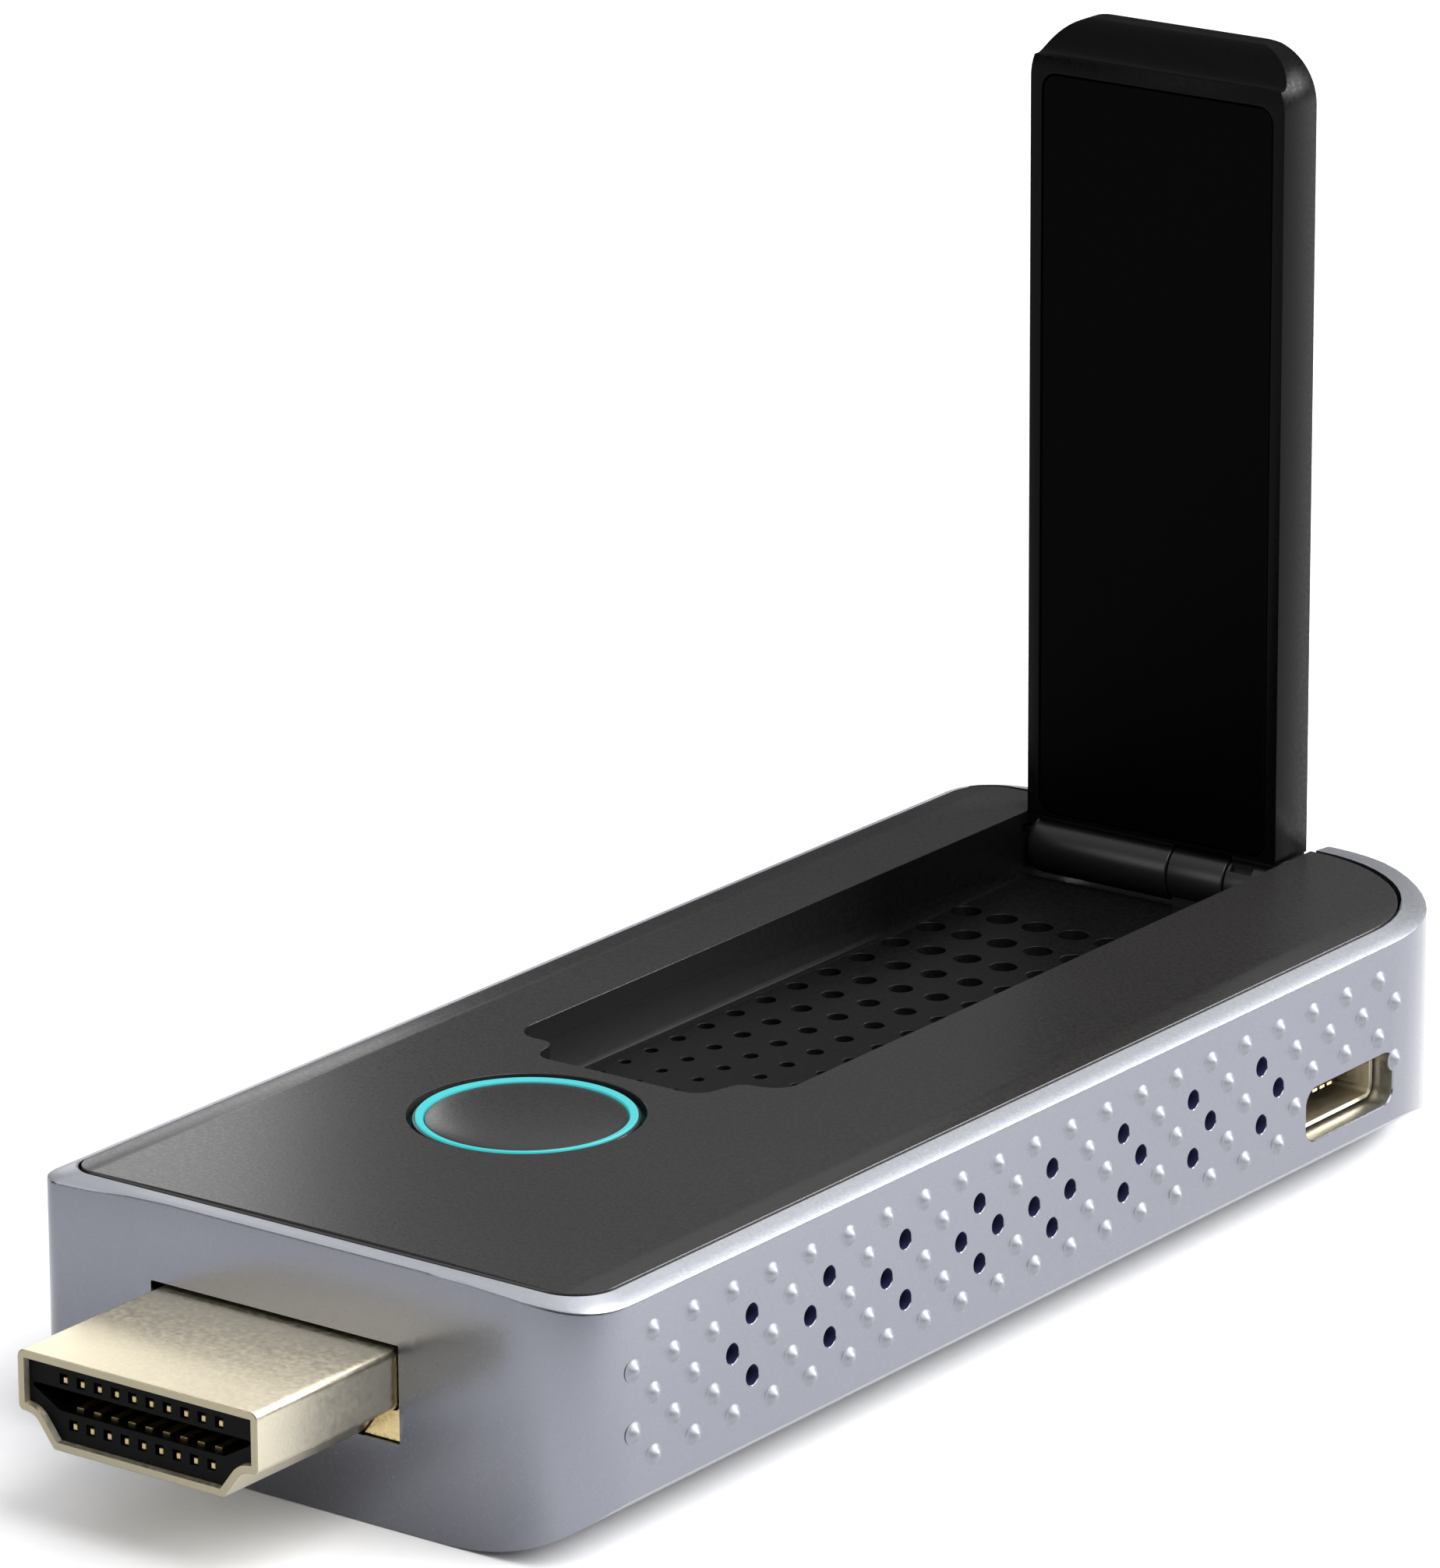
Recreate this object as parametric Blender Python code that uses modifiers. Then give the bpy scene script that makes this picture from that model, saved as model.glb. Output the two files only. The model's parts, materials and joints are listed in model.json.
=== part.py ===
"""Streaming media player: an HDMI stick with a fold-up antenna, as separate pieces.

Frame: +Z up. The HDMI plug points to -Y and the USB socket is on the +X side. The origin is on the
flat underside, at the middle of the body. Every constant is in millimetres.
"""
import math

import bmesh
import bpy
from mathutils import Matrix, Vector

MM = 0.001
GAP = 0.3  # clearance kept between pieces that touch on the real object

# Body: an aluminium-look tub with a dark inlaid cover
BODY_HALF_WIDTH = 16.1
BODY_LENGTH = 75.1
FRONT = -37.5  # y of the front wall
REAR = FRONT + BODY_LENGTH
COVER_TOP = 13.0
COVER_THICKNESS = 1.1
RIM_TOP = 12.85
RIM_SIDE = 12.5  # height at which the side rim starts to slope inwards
CORNER_RADII = (1.3, 2.3, 10.2, 3.0)  # front left, front right, rear right, rear left
WALL = 1.3
FLOOR = 1.2
UNDERSIDE_FLAT = 7.6  # half width of the flat part of the underside
SIDE_BOTTOM = 3.2  # height at which the curved underside meets the side walls
COVER_HALF_WIDTH = 14.95
COVER_FRONT = 0.9
COVER_REAR = 73.25
COVER_RADII = (1.6, 2.2, 8.9, 2.2)
LEDGE_DEPTH = COVER_THICKNESS + GAP

# The plug, the button and the antenna share a centre line beside the body's own
LINE = -2.1

# HDMI plug
PLUG_HALF_WIDTH = 6.95
PLUG_HALF_BOTTOM = 4.93
PLUG_HEIGHT = 4.45
PLUG_TOP = 8.69
PLUG_SHOULDER = 2.9  # straight part of the side, down from the top
PLUG_REACH = 9.63
PLUG_INSIDE = 4.6
PLUG_WALL = 0.35
SLOT_HALF_WIDTH = 7.2
SLOT_Z = (4.18, 8.93)
CONTACT_WIDTH = 0.35
CONTACT_THICKNESS = 0.2
CONTACT_OFFSET = 0.55  # from the plug's mid height to the near side of a contact

# Main board
BOARD_BOTTOM = 3.0
BOARD_TOP = 4.0
SEAT = BOARD_TOP + GAP  # underside of everything mounted on the board

# USB socket on the right-hand wall
USB_CENTRE = (60.65, 5.6)
USB_HALF = (3.45, 1.3)
USB_X = (10.2, 15.7)
USB_WALL = 0.3

# Vent holes: a checkerboard lattice on both side walls
LATTICE_START = 2.85
LATTICE_PITCH = 1.48
LATTICE_TOP = 10.8
VENT_RADIUS = 0.49
VENT_GROUPS = (5, 9, 13, 17)  # columns of a three-hole group, mirrored about the middle column
VENT_MIDDLE = 20

# Button
BUTTON_Y = 18.72
BUTTON_HOLE = 5.6
RING_OUTER = 5.2
RING_INNER = 4.85
CAP_RADIUS = 4.5
GUIDE_OUTER = 6.1

# Antenna bay, hinge and blade
BAY_X = (-9.75, 5.7)
BAY_FRONT = 27.5
BAY_FLOOR = 9.7
TRAY_WALL = 0.8
NOTCH_Z = 10.3  # bottom of the rear opening that lets the blade lean back
NAIL_X = (-7.2, 3.2)
NAIL_Y = 25.4
HINGE_Y = 71.4
HINGE_Z = 11.3
BLADE_X = (-9.6, 5.55)
BLADE_Y = (70.2, 73.07)
BLADE_BASE = 13.05
BLADE_SHOULDER = 52.8  # top of the flat front face
BLADE_TIP = 54.65
BLADE_CORNER = 3.0
BARREL = 1.62
PIN_RADIUS = 0.5
PIN_BORE = 0.8
COAX_RADIUS = 0.3


def behind_front(distance):
    """y of a point at a distance behind the front wall."""
    return FRONT + distance


# Scene, collections, materials

def clear_scene():
    for obj in list(bpy.data.objects):
        bpy.data.objects.remove(obj, do_unlink=True)


def collection(name):
    made = bpy.data.collections.new(name)
    bpy.context.scene.collection.children.link(made)
    return made


clear_scene()
PARTS = collection("streaming_media_player")
CUTTERS = collection("cutters")


def finish(name, colour, roughness, metallic=0.0):
    made = bpy.data.materials.new(name)
    made.use_nodes = True
    shader = made.node_tree.nodes["Principled BSDF"]
    shader.inputs["Base Color"].default_value = (*colour, 1.0)
    shader.inputs["Roughness"].default_value = roughness
    shader.inputs["Metallic"].default_value = metallic
    return made


SILVER = finish("silver_anodised", (0.42, 0.44, 0.48), 0.38, 0.85)
COVER_GREY = finish("dark_satin_plastic", (0.085, 0.083, 0.083), 0.45)
BAY_BLACK = finish("black_bay_plastic", (0.02, 0.02, 0.02), 0.5)
BLADE_BLACK = finish("black_antenna_plastic", (0.012, 0.012, 0.012), 0.35)
PANEL_BLACK = finish("black_panel_plastic", (0.006, 0.006, 0.006), 0.3)
CHAMPAGNE = finish("champagne_plating", (0.62, 0.56, 0.44), 0.35, 1.0)
GOLD = finish("gold_plating", (0.83, 0.62, 0.25), 0.3, 1.0)
INSULATOR = finish("black_insulator", (0.01, 0.01, 0.01), 0.5)
SOLDER_MASK = finish("board_solder_mask", (0.02, 0.04, 0.16), 0.4)
PACKAGE = finish("chip_package", (0.03, 0.03, 0.03), 0.6)
TINPLATE = finish("tinned_steel", (0.6, 0.6, 0.58), 0.3, 1.0)
ALUMINIUM = finish("bare_aluminium", (0.7, 0.7, 0.7), 0.35, 1.0)
PAD_GREY = finish("thermal_pad", (0.35, 0.4, 0.45), 0.9)
STEEL = finish("steel", (0.5, 0.5, 0.5), 0.3, 1.0)
FERRITE = finish("ferrite", (0.12, 0.12, 0.12), 0.7)
LENS = finish("cyan_light_guide", (0.1, 0.8, 0.83), 0.3)
LED_WHITE = finish("led_body", (0.8, 0.8, 0.7), 0.4)
JACKET = finish("coax_jacket", (0.03, 0.03, 0.03), 0.5)
LABEL_PAPER = finish("blank_label", (0.55, 0.55, 0.56), 0.6)


# Outlines: lists of (u, v) in millimetres

def arc(centre, radius, start, end, steps):
    """Points on an arc, angles in degrees, both ends included."""
    angles = [math.radians(start + (end - start) * i / steps) for i in range(steps + 1)]
    return [(centre[0] + radius * math.cos(a), centre[1] + radius * math.sin(a)) for a in angles]


def rounded_rectangle(u_range, v_range, radii, steps_per_radius=1.6):
    """Corners in the order low-low, high-low, high-high, low-high."""
    (u0, u1), (v0, v1) = u_range, v_range
    centres = [(u0 + radii[0], v0 + radii[0]), (u1 - radii[1], v0 + radii[1]),
               (u1 - radii[2], v1 - radii[2]), (u0 + radii[3], v1 - radii[3])]
    points = []
    for centre, radius, start in zip(centres, radii, (180, 270, 0, 90)):
        steps = max(2, min(8, round(steps_per_radius * radius)))
        points += arc(centre, radius, start, start + 90, steps)
    return points


def inset(outline, distance):
    """The outline moved inwards by a distance (outwards if it is negative)."""
    moved = []
    count = len(outline)
    for i in range(count):
        before, here, after = (Vector(outline[j % count]) for j in (i - 1, i, i + 1))
        first, second = (here - before).normalized(), (after - here).normalized()
        normals = [Vector((-edge.y, edge.x)) for edge in (first, second)]
        bisector = (normals[0] + normals[1]).normalized()
        corner = here + bisector * distance / bisector.dot(normals[0])
        moved.append((corner.x, corner.y))
    return moved


def body_outline():
    return rounded_rectangle((-BODY_HALF_WIDTH, BODY_HALF_WIDTH), (FRONT, REAR), CORNER_RADII)


def cover_outline():
    return rounded_rectangle((-COVER_HALF_WIDTH, COVER_HALF_WIDTH),
                             (behind_front(COVER_FRONT), behind_front(COVER_REAR)), COVER_RADII)


def body_section():
    """Cross-section in (x, z): flat underside, arcs up to the side walls, sloping side rims."""
    run, rise = BODY_HALF_WIDTH - UNDERSIDE_FLAT, SIDE_BOTTOM
    radius = (run * run + rise * rise) / (2 * rise)
    sweep = math.degrees(math.asin(run / radius))
    right = arc((UNDERSIDE_FLAT, radius), radius, 270, 270 + sweep, 6)
    right += [(BODY_HALF_WIDTH, RIM_SIDE), (COVER_HALF_WIDTH + 0.1, RIM_TOP)]
    left = [(-x, z) for x, z in reversed(right)]
    return right + left


def plug_outline():
    """The D-shaped plug in (x, z), anticlockwise from the lower left."""
    bottom, shoulder = PLUG_TOP - PLUG_HEIGHT, PLUG_TOP - PLUG_SHOULDER
    return [(LINE - PLUG_HALF_BOTTOM, bottom), (LINE + PLUG_HALF_BOTTOM, bottom),
            (LINE + PLUG_HALF_WIDTH, shoulder), (LINE + PLUG_HALF_WIDTH, PLUG_TOP),
            (LINE - PLUG_HALF_WIDTH, PLUG_TOP), (LINE - PLUG_HALF_WIDTH, shoulder)]


def usb_outline():
    """The socket's mouth in (y, z): narrower at the bottom."""
    centre_y, centre_z = behind_front(USB_CENTRE[0]), USB_CENTRE[1]
    half_y, half_z = USB_HALF
    return [(centre_y - half_y + 0.8, centre_z - half_z), (centre_y + half_y - 0.8, centre_z - half_z),
            (centre_y + half_y, centre_z - half_z + 0.9), (centre_y + half_y, centre_z + half_z),
            (centre_y - half_y, centre_z + half_z), (centre_y - half_y, centre_z - half_z + 0.9)]


# Solids

def place(name, bm, mat, pivot=None):
    """Turn a bmesh in millimetres into an object in metres, with its origin at the pivot."""
    origin = Vector(pivot or (0.0, 0.0, 0.0))
    bmesh.ops.translate(bm, verts=bm.verts, vec=-origin)
    bmesh.ops.scale(bm, verts=bm.verts, vec=(MM, MM, MM))
    bmesh.ops.recalc_face_normals(bm, faces=bm.faces)
    mesh = bpy.data.meshes.new(name)
    bm.to_mesh(mesh)
    bm.free()
    obj = bpy.data.objects.new(name, mesh)
    obj.location = origin * MM
    if mat is None:
        CUTTERS.objects.link(obj)
        obj.hide_render = True
        obj.display_type = "WIRE"
    else:
        mesh.materials.append(mat)
        PARTS.objects.link(obj)
    return obj


def block(name, mat, x, y, z, pivot=None):
    bm = bmesh.new()
    bmesh.ops.create_cube(bm, size=1.0)
    size = (x[1] - x[0], y[1] - y[0], z[1] - z[0])
    bmesh.ops.scale(bm, verts=bm.verts, vec=size)
    bmesh.ops.translate(bm, verts=bm.verts, vec=(sum(x) / 2, sum(y) / 2, sum(z) / 2))
    return place(name, bm, mat, pivot)


def prism(name, mat, outline, span, along="Z", pivot=None):
    """An outline pushed through a span: (x, y) along Z, (x, z) along Y, or (y, z) along X."""
    to_space = {"Z": lambda u, v, w: (u, v, w), "Y": lambda u, v, w: (u, w, v),
                "X": lambda u, v, w: (w, u, v)}[along]
    bm = bmesh.new()
    face = bm.faces.new([bm.verts.new(to_space(u, v, span[0])) for u, v in outline])
    extruded = bmesh.ops.extrude_face_region(bm, geom=[face])["geom"]
    push = Vector(to_space(0.0, 0.0, span[1] - span[0]))
    bmesh.ops.translate(bm, verts=[g for g in extruded if isinstance(g, bmesh.types.BMVert)], vec=push)
    return place(name, bm, mat, pivot)


def cylinders(name, mat, centres, radius, length, along="Z", segments=16, pivot=None):
    """One or more equal cylinders; centres are their middles."""
    turn = {"Z": Matrix(), "X": Matrix.Rotation(math.radians(90), 4, "Y"),
            "Y": Matrix.Rotation(math.radians(90), 4, "X")}[along]
    bm = bmesh.new()
    for centre in centres:
        bmesh.ops.create_cone(bm, cap_ends=True, segments=segments, radius1=radius, radius2=radius,
                              depth=length, matrix=Matrix.Translation(centre) @ turn)
    return place(name, bm, mat, pivot)


def turned(name, mat, profile, centre, closed=False, steps=28):
    """A profile of (radius, z) from top to bottom, turned about the vertical through centre."""
    bm = bmesh.new()
    verts = [bm.verts.new((r, 0.0, z)) for r, z in profile]
    for first, second in zip(verts, verts[1:]):
        bm.edges.new((first, second))
    if closed:
        bm.edges.new((verts[-1], verts[0]))
    obj = place(name, bm, mat)
    obj.location = Vector((*centre, 0.0)) * MM
    screw = obj.modifiers.new("turn", "SCREW")
    screw.steps = screw.render_steps = steps
    screw.use_merge_vertices = True
    screw.merge_threshold = 0.00001
    return obj


def tube(name, mat, points, radius):
    curve = bpy.data.curves.new(name, "CURVE")
    curve.dimensions = "3D"
    curve.bevel_depth = radius * MM
    curve.bevel_resolution = 1
    curve.use_fill_caps = True
    spline = curve.splines.new("POLY")
    spline.points.add(len(points) - 1)
    for slot, point in zip(spline.points, points):
        slot.co = (*(Vector(point) * MM), 1.0)
    curve.materials.append(mat)
    obj = bpy.data.objects.new(name, curve)
    PARTS.objects.link(obj)
    return obj


def combine(target, operation, *tools):
    for tool in tools:
        step = target.modifiers.new(tool.name, "BOOLEAN")
        step.operation = operation
        step.object = tool
        step.solver = "EXACT"
    return target


def cut(target, *tools):
    return combine(target, "DIFFERENCE", *tools)


def fuse(target, *tools):
    return combine(target, "UNION", *tools)


def keep_inside(target, *tools):
    return combine(target, "INTERSECT", *tools)


# Housing, cover and label

SCREW_POINTS = ((-9.6, 10.0), (9.6, 10.0))


def vent_points():
    """(y, z) of the through holes: three-hole groups about the middle, and two single holes."""
    spots = []
    for column in VENT_GROUPS:
        for side in (-1, 1):
            outer = VENT_MIDDLE + side * (VENT_MIDDLE - column)
            inner = outer - side
            spots += [(outer, 2), (inner, 1), (inner, 3)]
    spots += [(VENT_MIDDLE - 1, 2), (VENT_MIDDLE + 1, 2)]
    return [(behind_front(LATTICE_START + c * LATTICE_PITCH), LATTICE_TOP - level * LATTICE_PITCH)
            for c, level in spots]


def make_housing():
    housing = prism("housing", SILVER, body_outline(), (0.0, RIM_TOP))
    section = prism("cut_section", None, body_section(), (FRONT - 5, REAR + 5), "Y")
    cavity = prism("cut_cavity", None, inset(body_outline(), WALL), (-1.0, RIM_TOP + 5))
    inner = [(x, z) for x, z in inset(body_section(), FLOOR) if z < RIM_SIDE - 2]
    half = len(inner) // 2
    inner = inner[:half] + [(BODY_HALF_WIDTH, inner[half - 1][1]), (BODY_HALF_WIDTH, RIM_TOP + 4),
                            (-BODY_HALF_WIDTH, RIM_TOP + 4), (-BODY_HALF_WIDTH, inner[half][1])] + inner[half:]
    keep_inside(cavity, prism("cut_cavity_section", None, inner, (FRONT - 5, REAR + 5), "Y"))
    ledge = prism("cut_ledge", None, inset(cover_outline(), -GAP), (COVER_TOP - LEDGE_DEPTH, RIM_TOP + 4))
    slot = block("cut_hdmi_slot", None, (LINE - SLOT_HALF_WIDTH, LINE + SLOT_HALF_WIDTH),
                 (FRONT - 1, FRONT + 3), SLOT_Z)
    pocket = block("cut_flange_pocket", None, (LINE - 8.8, LINE + 8.8),
                   (behind_front(0.8), behind_front(2.5)), (3.6, 9.7))
    port = prism("cut_usb_port", None, inset(usb_outline(), -GAP), (13.0, 18.0), "X")
    vents = cylinders("cut_vents", None, [(0.0, y, z) for y, z in vent_points()],
                      VENT_RADIUS, 2 * BODY_HALF_WIDTH + 4, "X", 6)
    notch = block("cut_rear_notch", None, BAY_X, (behind_front(72.0), REAR + 2), (NOTCH_Z, 16.0))
    label_bed = block("cut_label_bed", None, (-7.0, 7.0), (behind_front(43.5), behind_front(68.5)),
                      (-1.0, 0.45))
    bosses = cylinders("add_bosses", None, [(x, behind_front(y), 1.75) for x, y in SCREW_POINTS],
                       1.9, 1.9, segments=12)
    holes = cylinders("cut_boss_holes", None, [(x, behind_front(y), 2.6) for x, y in SCREW_POINTS],
                      1.0, 2.0, segments=12)
    keep_inside(housing, section)
    cut(housing, cavity)
    fuse(housing, bosses)
    cut(housing, ledge, slot, pocket, port, vents, notch, label_bed, holes)


def make_cover():
    bottom = COVER_TOP - COVER_THICKNESS
    cover = prism("top_cover", COVER_GREY, cover_outline(), (bottom, COVER_TOP))
    button_hole = cylinders("cut_button_hole", None, [(LINE, behind_front(BUTTON_Y), COVER_TOP)],
                            BUTTON_HOLE, 6.0, segments=28)
    bay = prism("cut_bay", None,
                rounded_rectangle(BAY_X, (behind_front(BAY_FRONT), REAR + 3), (1.5, 1.5, 1, 1)),
                (bottom - 2, COVER_TOP + 2))
    nail = prism("cut_nail_notch", None,
                 rounded_rectangle(NAIL_X, (behind_front(NAIL_Y), behind_front(BAY_FRONT + 1)),
                                   (1.0, 1.0, 0.4, 0.4)), (COVER_TOP - 0.8, COVER_TOP + 2))
    relief = block("cut_bush_relief", None, (-12.2, -9.5),
                   (behind_front(HINGE_Y - 1.5), behind_front(COVER_REAR + 1)), (bottom - 1, 12.4))
    cut(cover, button_hole, bay, nail, relief)


def make_label():
    block("rating_label", LABEL_PAPER, (-6.6, 6.6), (behind_front(43.9), behind_front(68.1)), (0.03, 0.13))


# HDMI plug

def make_plug():
    outline = plug_outline()
    shell = prism("hdmi_shell", CHAMPAGNE, outline, (FRONT - PLUG_REACH, FRONT + PLUG_INSIDE), "Y")
    bore = prism("cut_plug_bore", None, inset(outline, PLUG_WALL),
                 (FRONT - PLUG_REACH - 1, FRONT + PLUG_INSIDE + 1), "Y")
    cut(shell, bore)
    flange = block("hdmi_flange", CHAMPAGNE, (LINE - 8.5, LINE + 8.5),
                   (behind_front(1.1), behind_front(1.6)), (SEAT - 0.05, 9.4))
    opening = prism("cut_flange_opening", None,
                    inset(outline, -GAP), (FRONT, FRONT + 4), "Y")
    cut(flange, opening)
    body = prism("hdmi_insulator", INSULATOR, inset(outline, PLUG_WALL + GAP),
                 (FRONT - PLUG_REACH + 0.35, FRONT + PLUG_INSIDE - 0.4), "Y")
    mouth = prism("cut_plug_mouth", None, inset(outline, PLUG_WALL + GAP + 0.475),
                  (FRONT - PLUG_REACH - 1, FRONT + PLUG_INSIDE + 1), "Y")
    cut(body, mouth)


def contact_outline(near, far, drop, thickness):
    """Side view of one contact in (y, z): a blade in the plug, a leg and a foot on the board."""
    front = FRONT - PLUG_REACH + 0.9
    return [(front, near), (front, far), (drop, far), (drop, SEAT + thickness),
            (drop + 0.7, SEAT + thickness), (drop + 0.7, SEAT), (drop - thickness, SEAT),
            (drop - thickness, near)]


def make_contacts():
    middle = PLUG_TOP - PLUG_HEIGHT / 2
    rows = ((10, middle + CONTACT_OFFSET, behind_front(6.2)),
            (9, middle - CONTACT_OFFSET - CONTACT_THICKNESS, behind_front(5.2)))
    number = 0
    for count, low, drop in rows:
        outline = contact_outline(low, low + CONTACT_THICKNESS, drop, CONTACT_THICKNESS)
        for i in range(count):
            number += 1
            x = LINE + i - (count - 1) / 2
            span = (x - CONTACT_WIDTH / 2, x + CONTACT_WIDTH / 2)
            prism("hdmi_contact_%02d" % number, GOLD, outline, span, "X")


# Electronics

def make_board():
    board = block("main_pcb", SOLDER_MASK, (-13.2, 13.2), (behind_front(2.4), behind_front(66.0)),
                  (BOARD_BOTTOM, BOARD_TOP))
    cut(board, cylinders("cut_board_holes", None,
                         [(x, behind_front(y), BOARD_TOP) for x, y in SCREW_POINTS], 1.0, 4.0,
                         segments=12))


def chip(name, mat, x, y, height, bottom=SEAT):
    """A rectangular component standing on the board; y is measured behind the front wall."""
    return block(name, mat, x, (behind_front(y[0]), behind_front(y[1])), (bottom, bottom + height))


def make_components():
    can = chip("shield_can", TINPLATE, (-9.0, 9.0), (27.0, 50.0), 2.2)
    cut(can, chip("cut_can", None, (-8.7, 8.7), (27.3, 49.7), 2.9, SEAT - 1.0))
    chip("soc", PACKAGE, (-6.0, 6.0), (28.5, 40.5), 1.2)
    chip("dram", PACKAGE, (-5.5, 5.5), (41.5, 49.0), 1.0)
    chip("flash", PACKAGE, (-6.5, 5.0), (12.0, 25.0), 1.0)
    chip("wifi_module", TINPLATE, (-13.0, -1.0), (52.0, 64.5), 1.9)
    chip("crystal", TINPLATE, (2.6, 5.8), (58.0, 60.5), 0.8)
    chip("power_regulator", PACKAGE, (1.8, 5.8), (52.0, 56.0), 0.9)
    chip("inductor_a", FERRITE, (7.4, 10.8), (52.0, 55.4), 1.6)
    chip("inductor_b", FERRITE, (9.9, 12.7), (43.0, 45.8), 1.4)
    chip("thermal_pad", PAD_GREY, (-6.0, 6.0), (28.5, 40.5), 0.6, SEAT + 2.5)
    chip("heat_spreader", ALUMINIUM, (-9.0, 6.4), (28.0, 50.0), 0.8, SEAT + 3.4)
    cylinders("coax_connector", GOLD, [(-11.6, behind_front(61.5), 7.1)], 1.1, 1.1, segments=12)


def make_screws():
    for side, (x, y) in zip(("left", "right"), SCREW_POINTS):
        profile = [(0.0, 5.3), (1.5, 5.2), (1.5, SEAT), (0.6, SEAT), (0.6, 2.0), (0.0, 1.95)]
        turned("board_screw_" + side, STEEL, profile, (x, behind_front(y)), steps=12)


def make_usb():
    shell = prism("usb_shell", GOLD, usb_outline(), USB_X, "X")
    cut(shell, prism("cut_usb_bore", None, inset(usb_outline(), USB_WALL),
                     (USB_X[0] + USB_WALL, USB_X[1] + 1), "X"))
    centre_y, centre_z = behind_front(USB_CENTRE[0]), USB_CENTRE[1]
    block("usb_tongue", INSULATOR, (USB_X[0] + 0.6, USB_X[1] - 0.6), (centre_y - 1.9, centre_y + 1.9),
          (centre_z, centre_z + 0.55))


# Button

def make_button():
    y = behind_front(BUTTON_Y)
    centre = (LINE, y)
    dome = [(CAP_RADIUS * math.sin(math.radians(a)),
             COVER_TOP + 0.4 * (math.cos(math.radians(a)) - 0.15)) for a in (0, 25, 45, 65, 90)]
    cap = dome + [(CAP_RADIUS, 11.9), (1.2, 11.9), (1.2, 11.2), (0.0, 11.2)]
    turned("button_cap", COVER_GREY, cap, centre)
    ring = [(RING_INNER, 13.05), (RING_OUTER, 13.05), (RING_OUTER, 9.6), (RING_INNER, 9.6)]
    turned("light_ring", LENS, ring, centre, closed=True)
    guide = [(5.5, 11.6), (GUIDE_OUTER, 11.6), (GUIDE_OUTER, 8.5), (5.5, 8.5)]
    turned("button_guide", BAY_BLACK, guide, centre, closed=True)
    block("button_board", SOLDER_MASK, (LINE - 6.4, LINE + 6.4), (y - 6.4, y + 6.4), (7.3, 8.2))
    switch = block("tact_switch", TINPLATE, (LINE - 2.25, LINE + 2.25), (y - 2.25, y + 2.25), (8.5, 10.1))
    cut(switch, cylinders("cut_switch_well", None, [(LINE, y, 10.0)], 1.3, 2.0, segments=12))
    cylinders("tact_plunger", INSULATOR, [(LINE, y, 10.2)], 1.0, 1.4, segments=12)
    for i in range(3):
        angle = math.radians(90 + 120 * i)
        x_led, y_led = LINE + 5.0 * math.cos(angle), y + 5.0 * math.sin(angle)
        block("led_%d" % (i + 1), LED_WHITE, (x_led - 0.3, x_led + 0.3), (y_led - 0.3, y_led + 0.3),
              (8.5, 9.1))


# Antenna bay and hinge

def make_bay():
    tray = block("antenna_bay", BAY_BLACK, (BAY_X[0] - TRAY_WALL, BAY_X[1] + TRAY_WALL),
                 (behind_front(BAY_FRONT - TRAY_WALL), behind_front(73.5)),
                 (BAY_FLOOR - TRAY_WALL, COVER_TOP - COVER_THICKNESS - GAP))
    hollow = prism("cut_tray", None,
                   rounded_rectangle(BAY_X, (behind_front(BAY_FRONT), behind_front(72.7)),
                                     (1.5, 1.5, 0.5, 0.5)), (BAY_FLOOR, 15.0))
    rear = block("cut_tray_rear", None, BAY_X, (behind_front(72.0), behind_front(75.0)),
                 (NOTCH_Z - GAP, 15.0))
    trough = block("cut_tray_trough", None, BAY_X, (behind_front(69.4), behind_front(72.7)),
                   (HINGE_Z - BARREL - GAP, 15.0))
    foot = block("cut_tray_foot", None, (-1.05, 2.85), (behind_front(69.9), behind_front(72.9)), (7.0, 9.8))
    bush = cylinders("cut_tray_bush", None, [(BAY_X[0], behind_front(HINGE_Y), HINGE_Z)], 1.1, 4.0, "X", 12)
    cut(tray, hollow, rear, trough, foot, bush)


def hinge_cylinder(name, mat, x, radius, segments=16, pivot=None):
    centre = (sum(x) / 2, behind_front(HINGE_Y), HINGE_Z)
    return cylinders(name, mat, [centre], radius, x[1] - x[0], "X", segments, pivot)


def make_hinge():
    base = hinge_cylinder("hinge_base", BAY_BLACK, (-0.75, 2.55), 1.45)
    post = block("add_hinge_post", None, (-0.75, 2.55), (behind_front(70.2), behind_front(72.6)),
                 (FLOOR + GAP, HINGE_Z - 0.9))
    fuse(base, post)
    cut(base, hinge_cylinder("cut_base_bore", None, (-2.0, 4.0), PIN_BORE, 12))
    hinge_cylinder("hinge_pin", STEEL, (-2.6, 5.3), PIN_RADIUS, 12)
    bush = hinge_cylinder("hinge_bush", STEEL, (-10.9, -8.7), 0.85, 12)
    cut(bush, hinge_cylinder("cut_bush_bore", None, (-12.0, -8.0), 0.6, 12))


# Antenna blade: turns about the hinge line, so its pieces share that origin

def blade_section():
    """Side view in (y, z): flat front, a finger scoop that sweeps up to the rear ridge."""
    front, rear = (behind_front(y) for y in BLADE_Y)
    ridge = rear - 0.85
    scoop = []
    for i in range(8):
        t = i / 7
        lift = (1 - math.cos(math.pi * t)) / 2
        scoop.append((front + (ridge - front) * t, BLADE_SHOULDER + (BLADE_TIP - BLADE_SHOULDER) * lift))
    return [(rear, BLADE_BASE), (rear, BLADE_TIP)] + scoop[::-1] + [(front, BLADE_BASE)]


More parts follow.
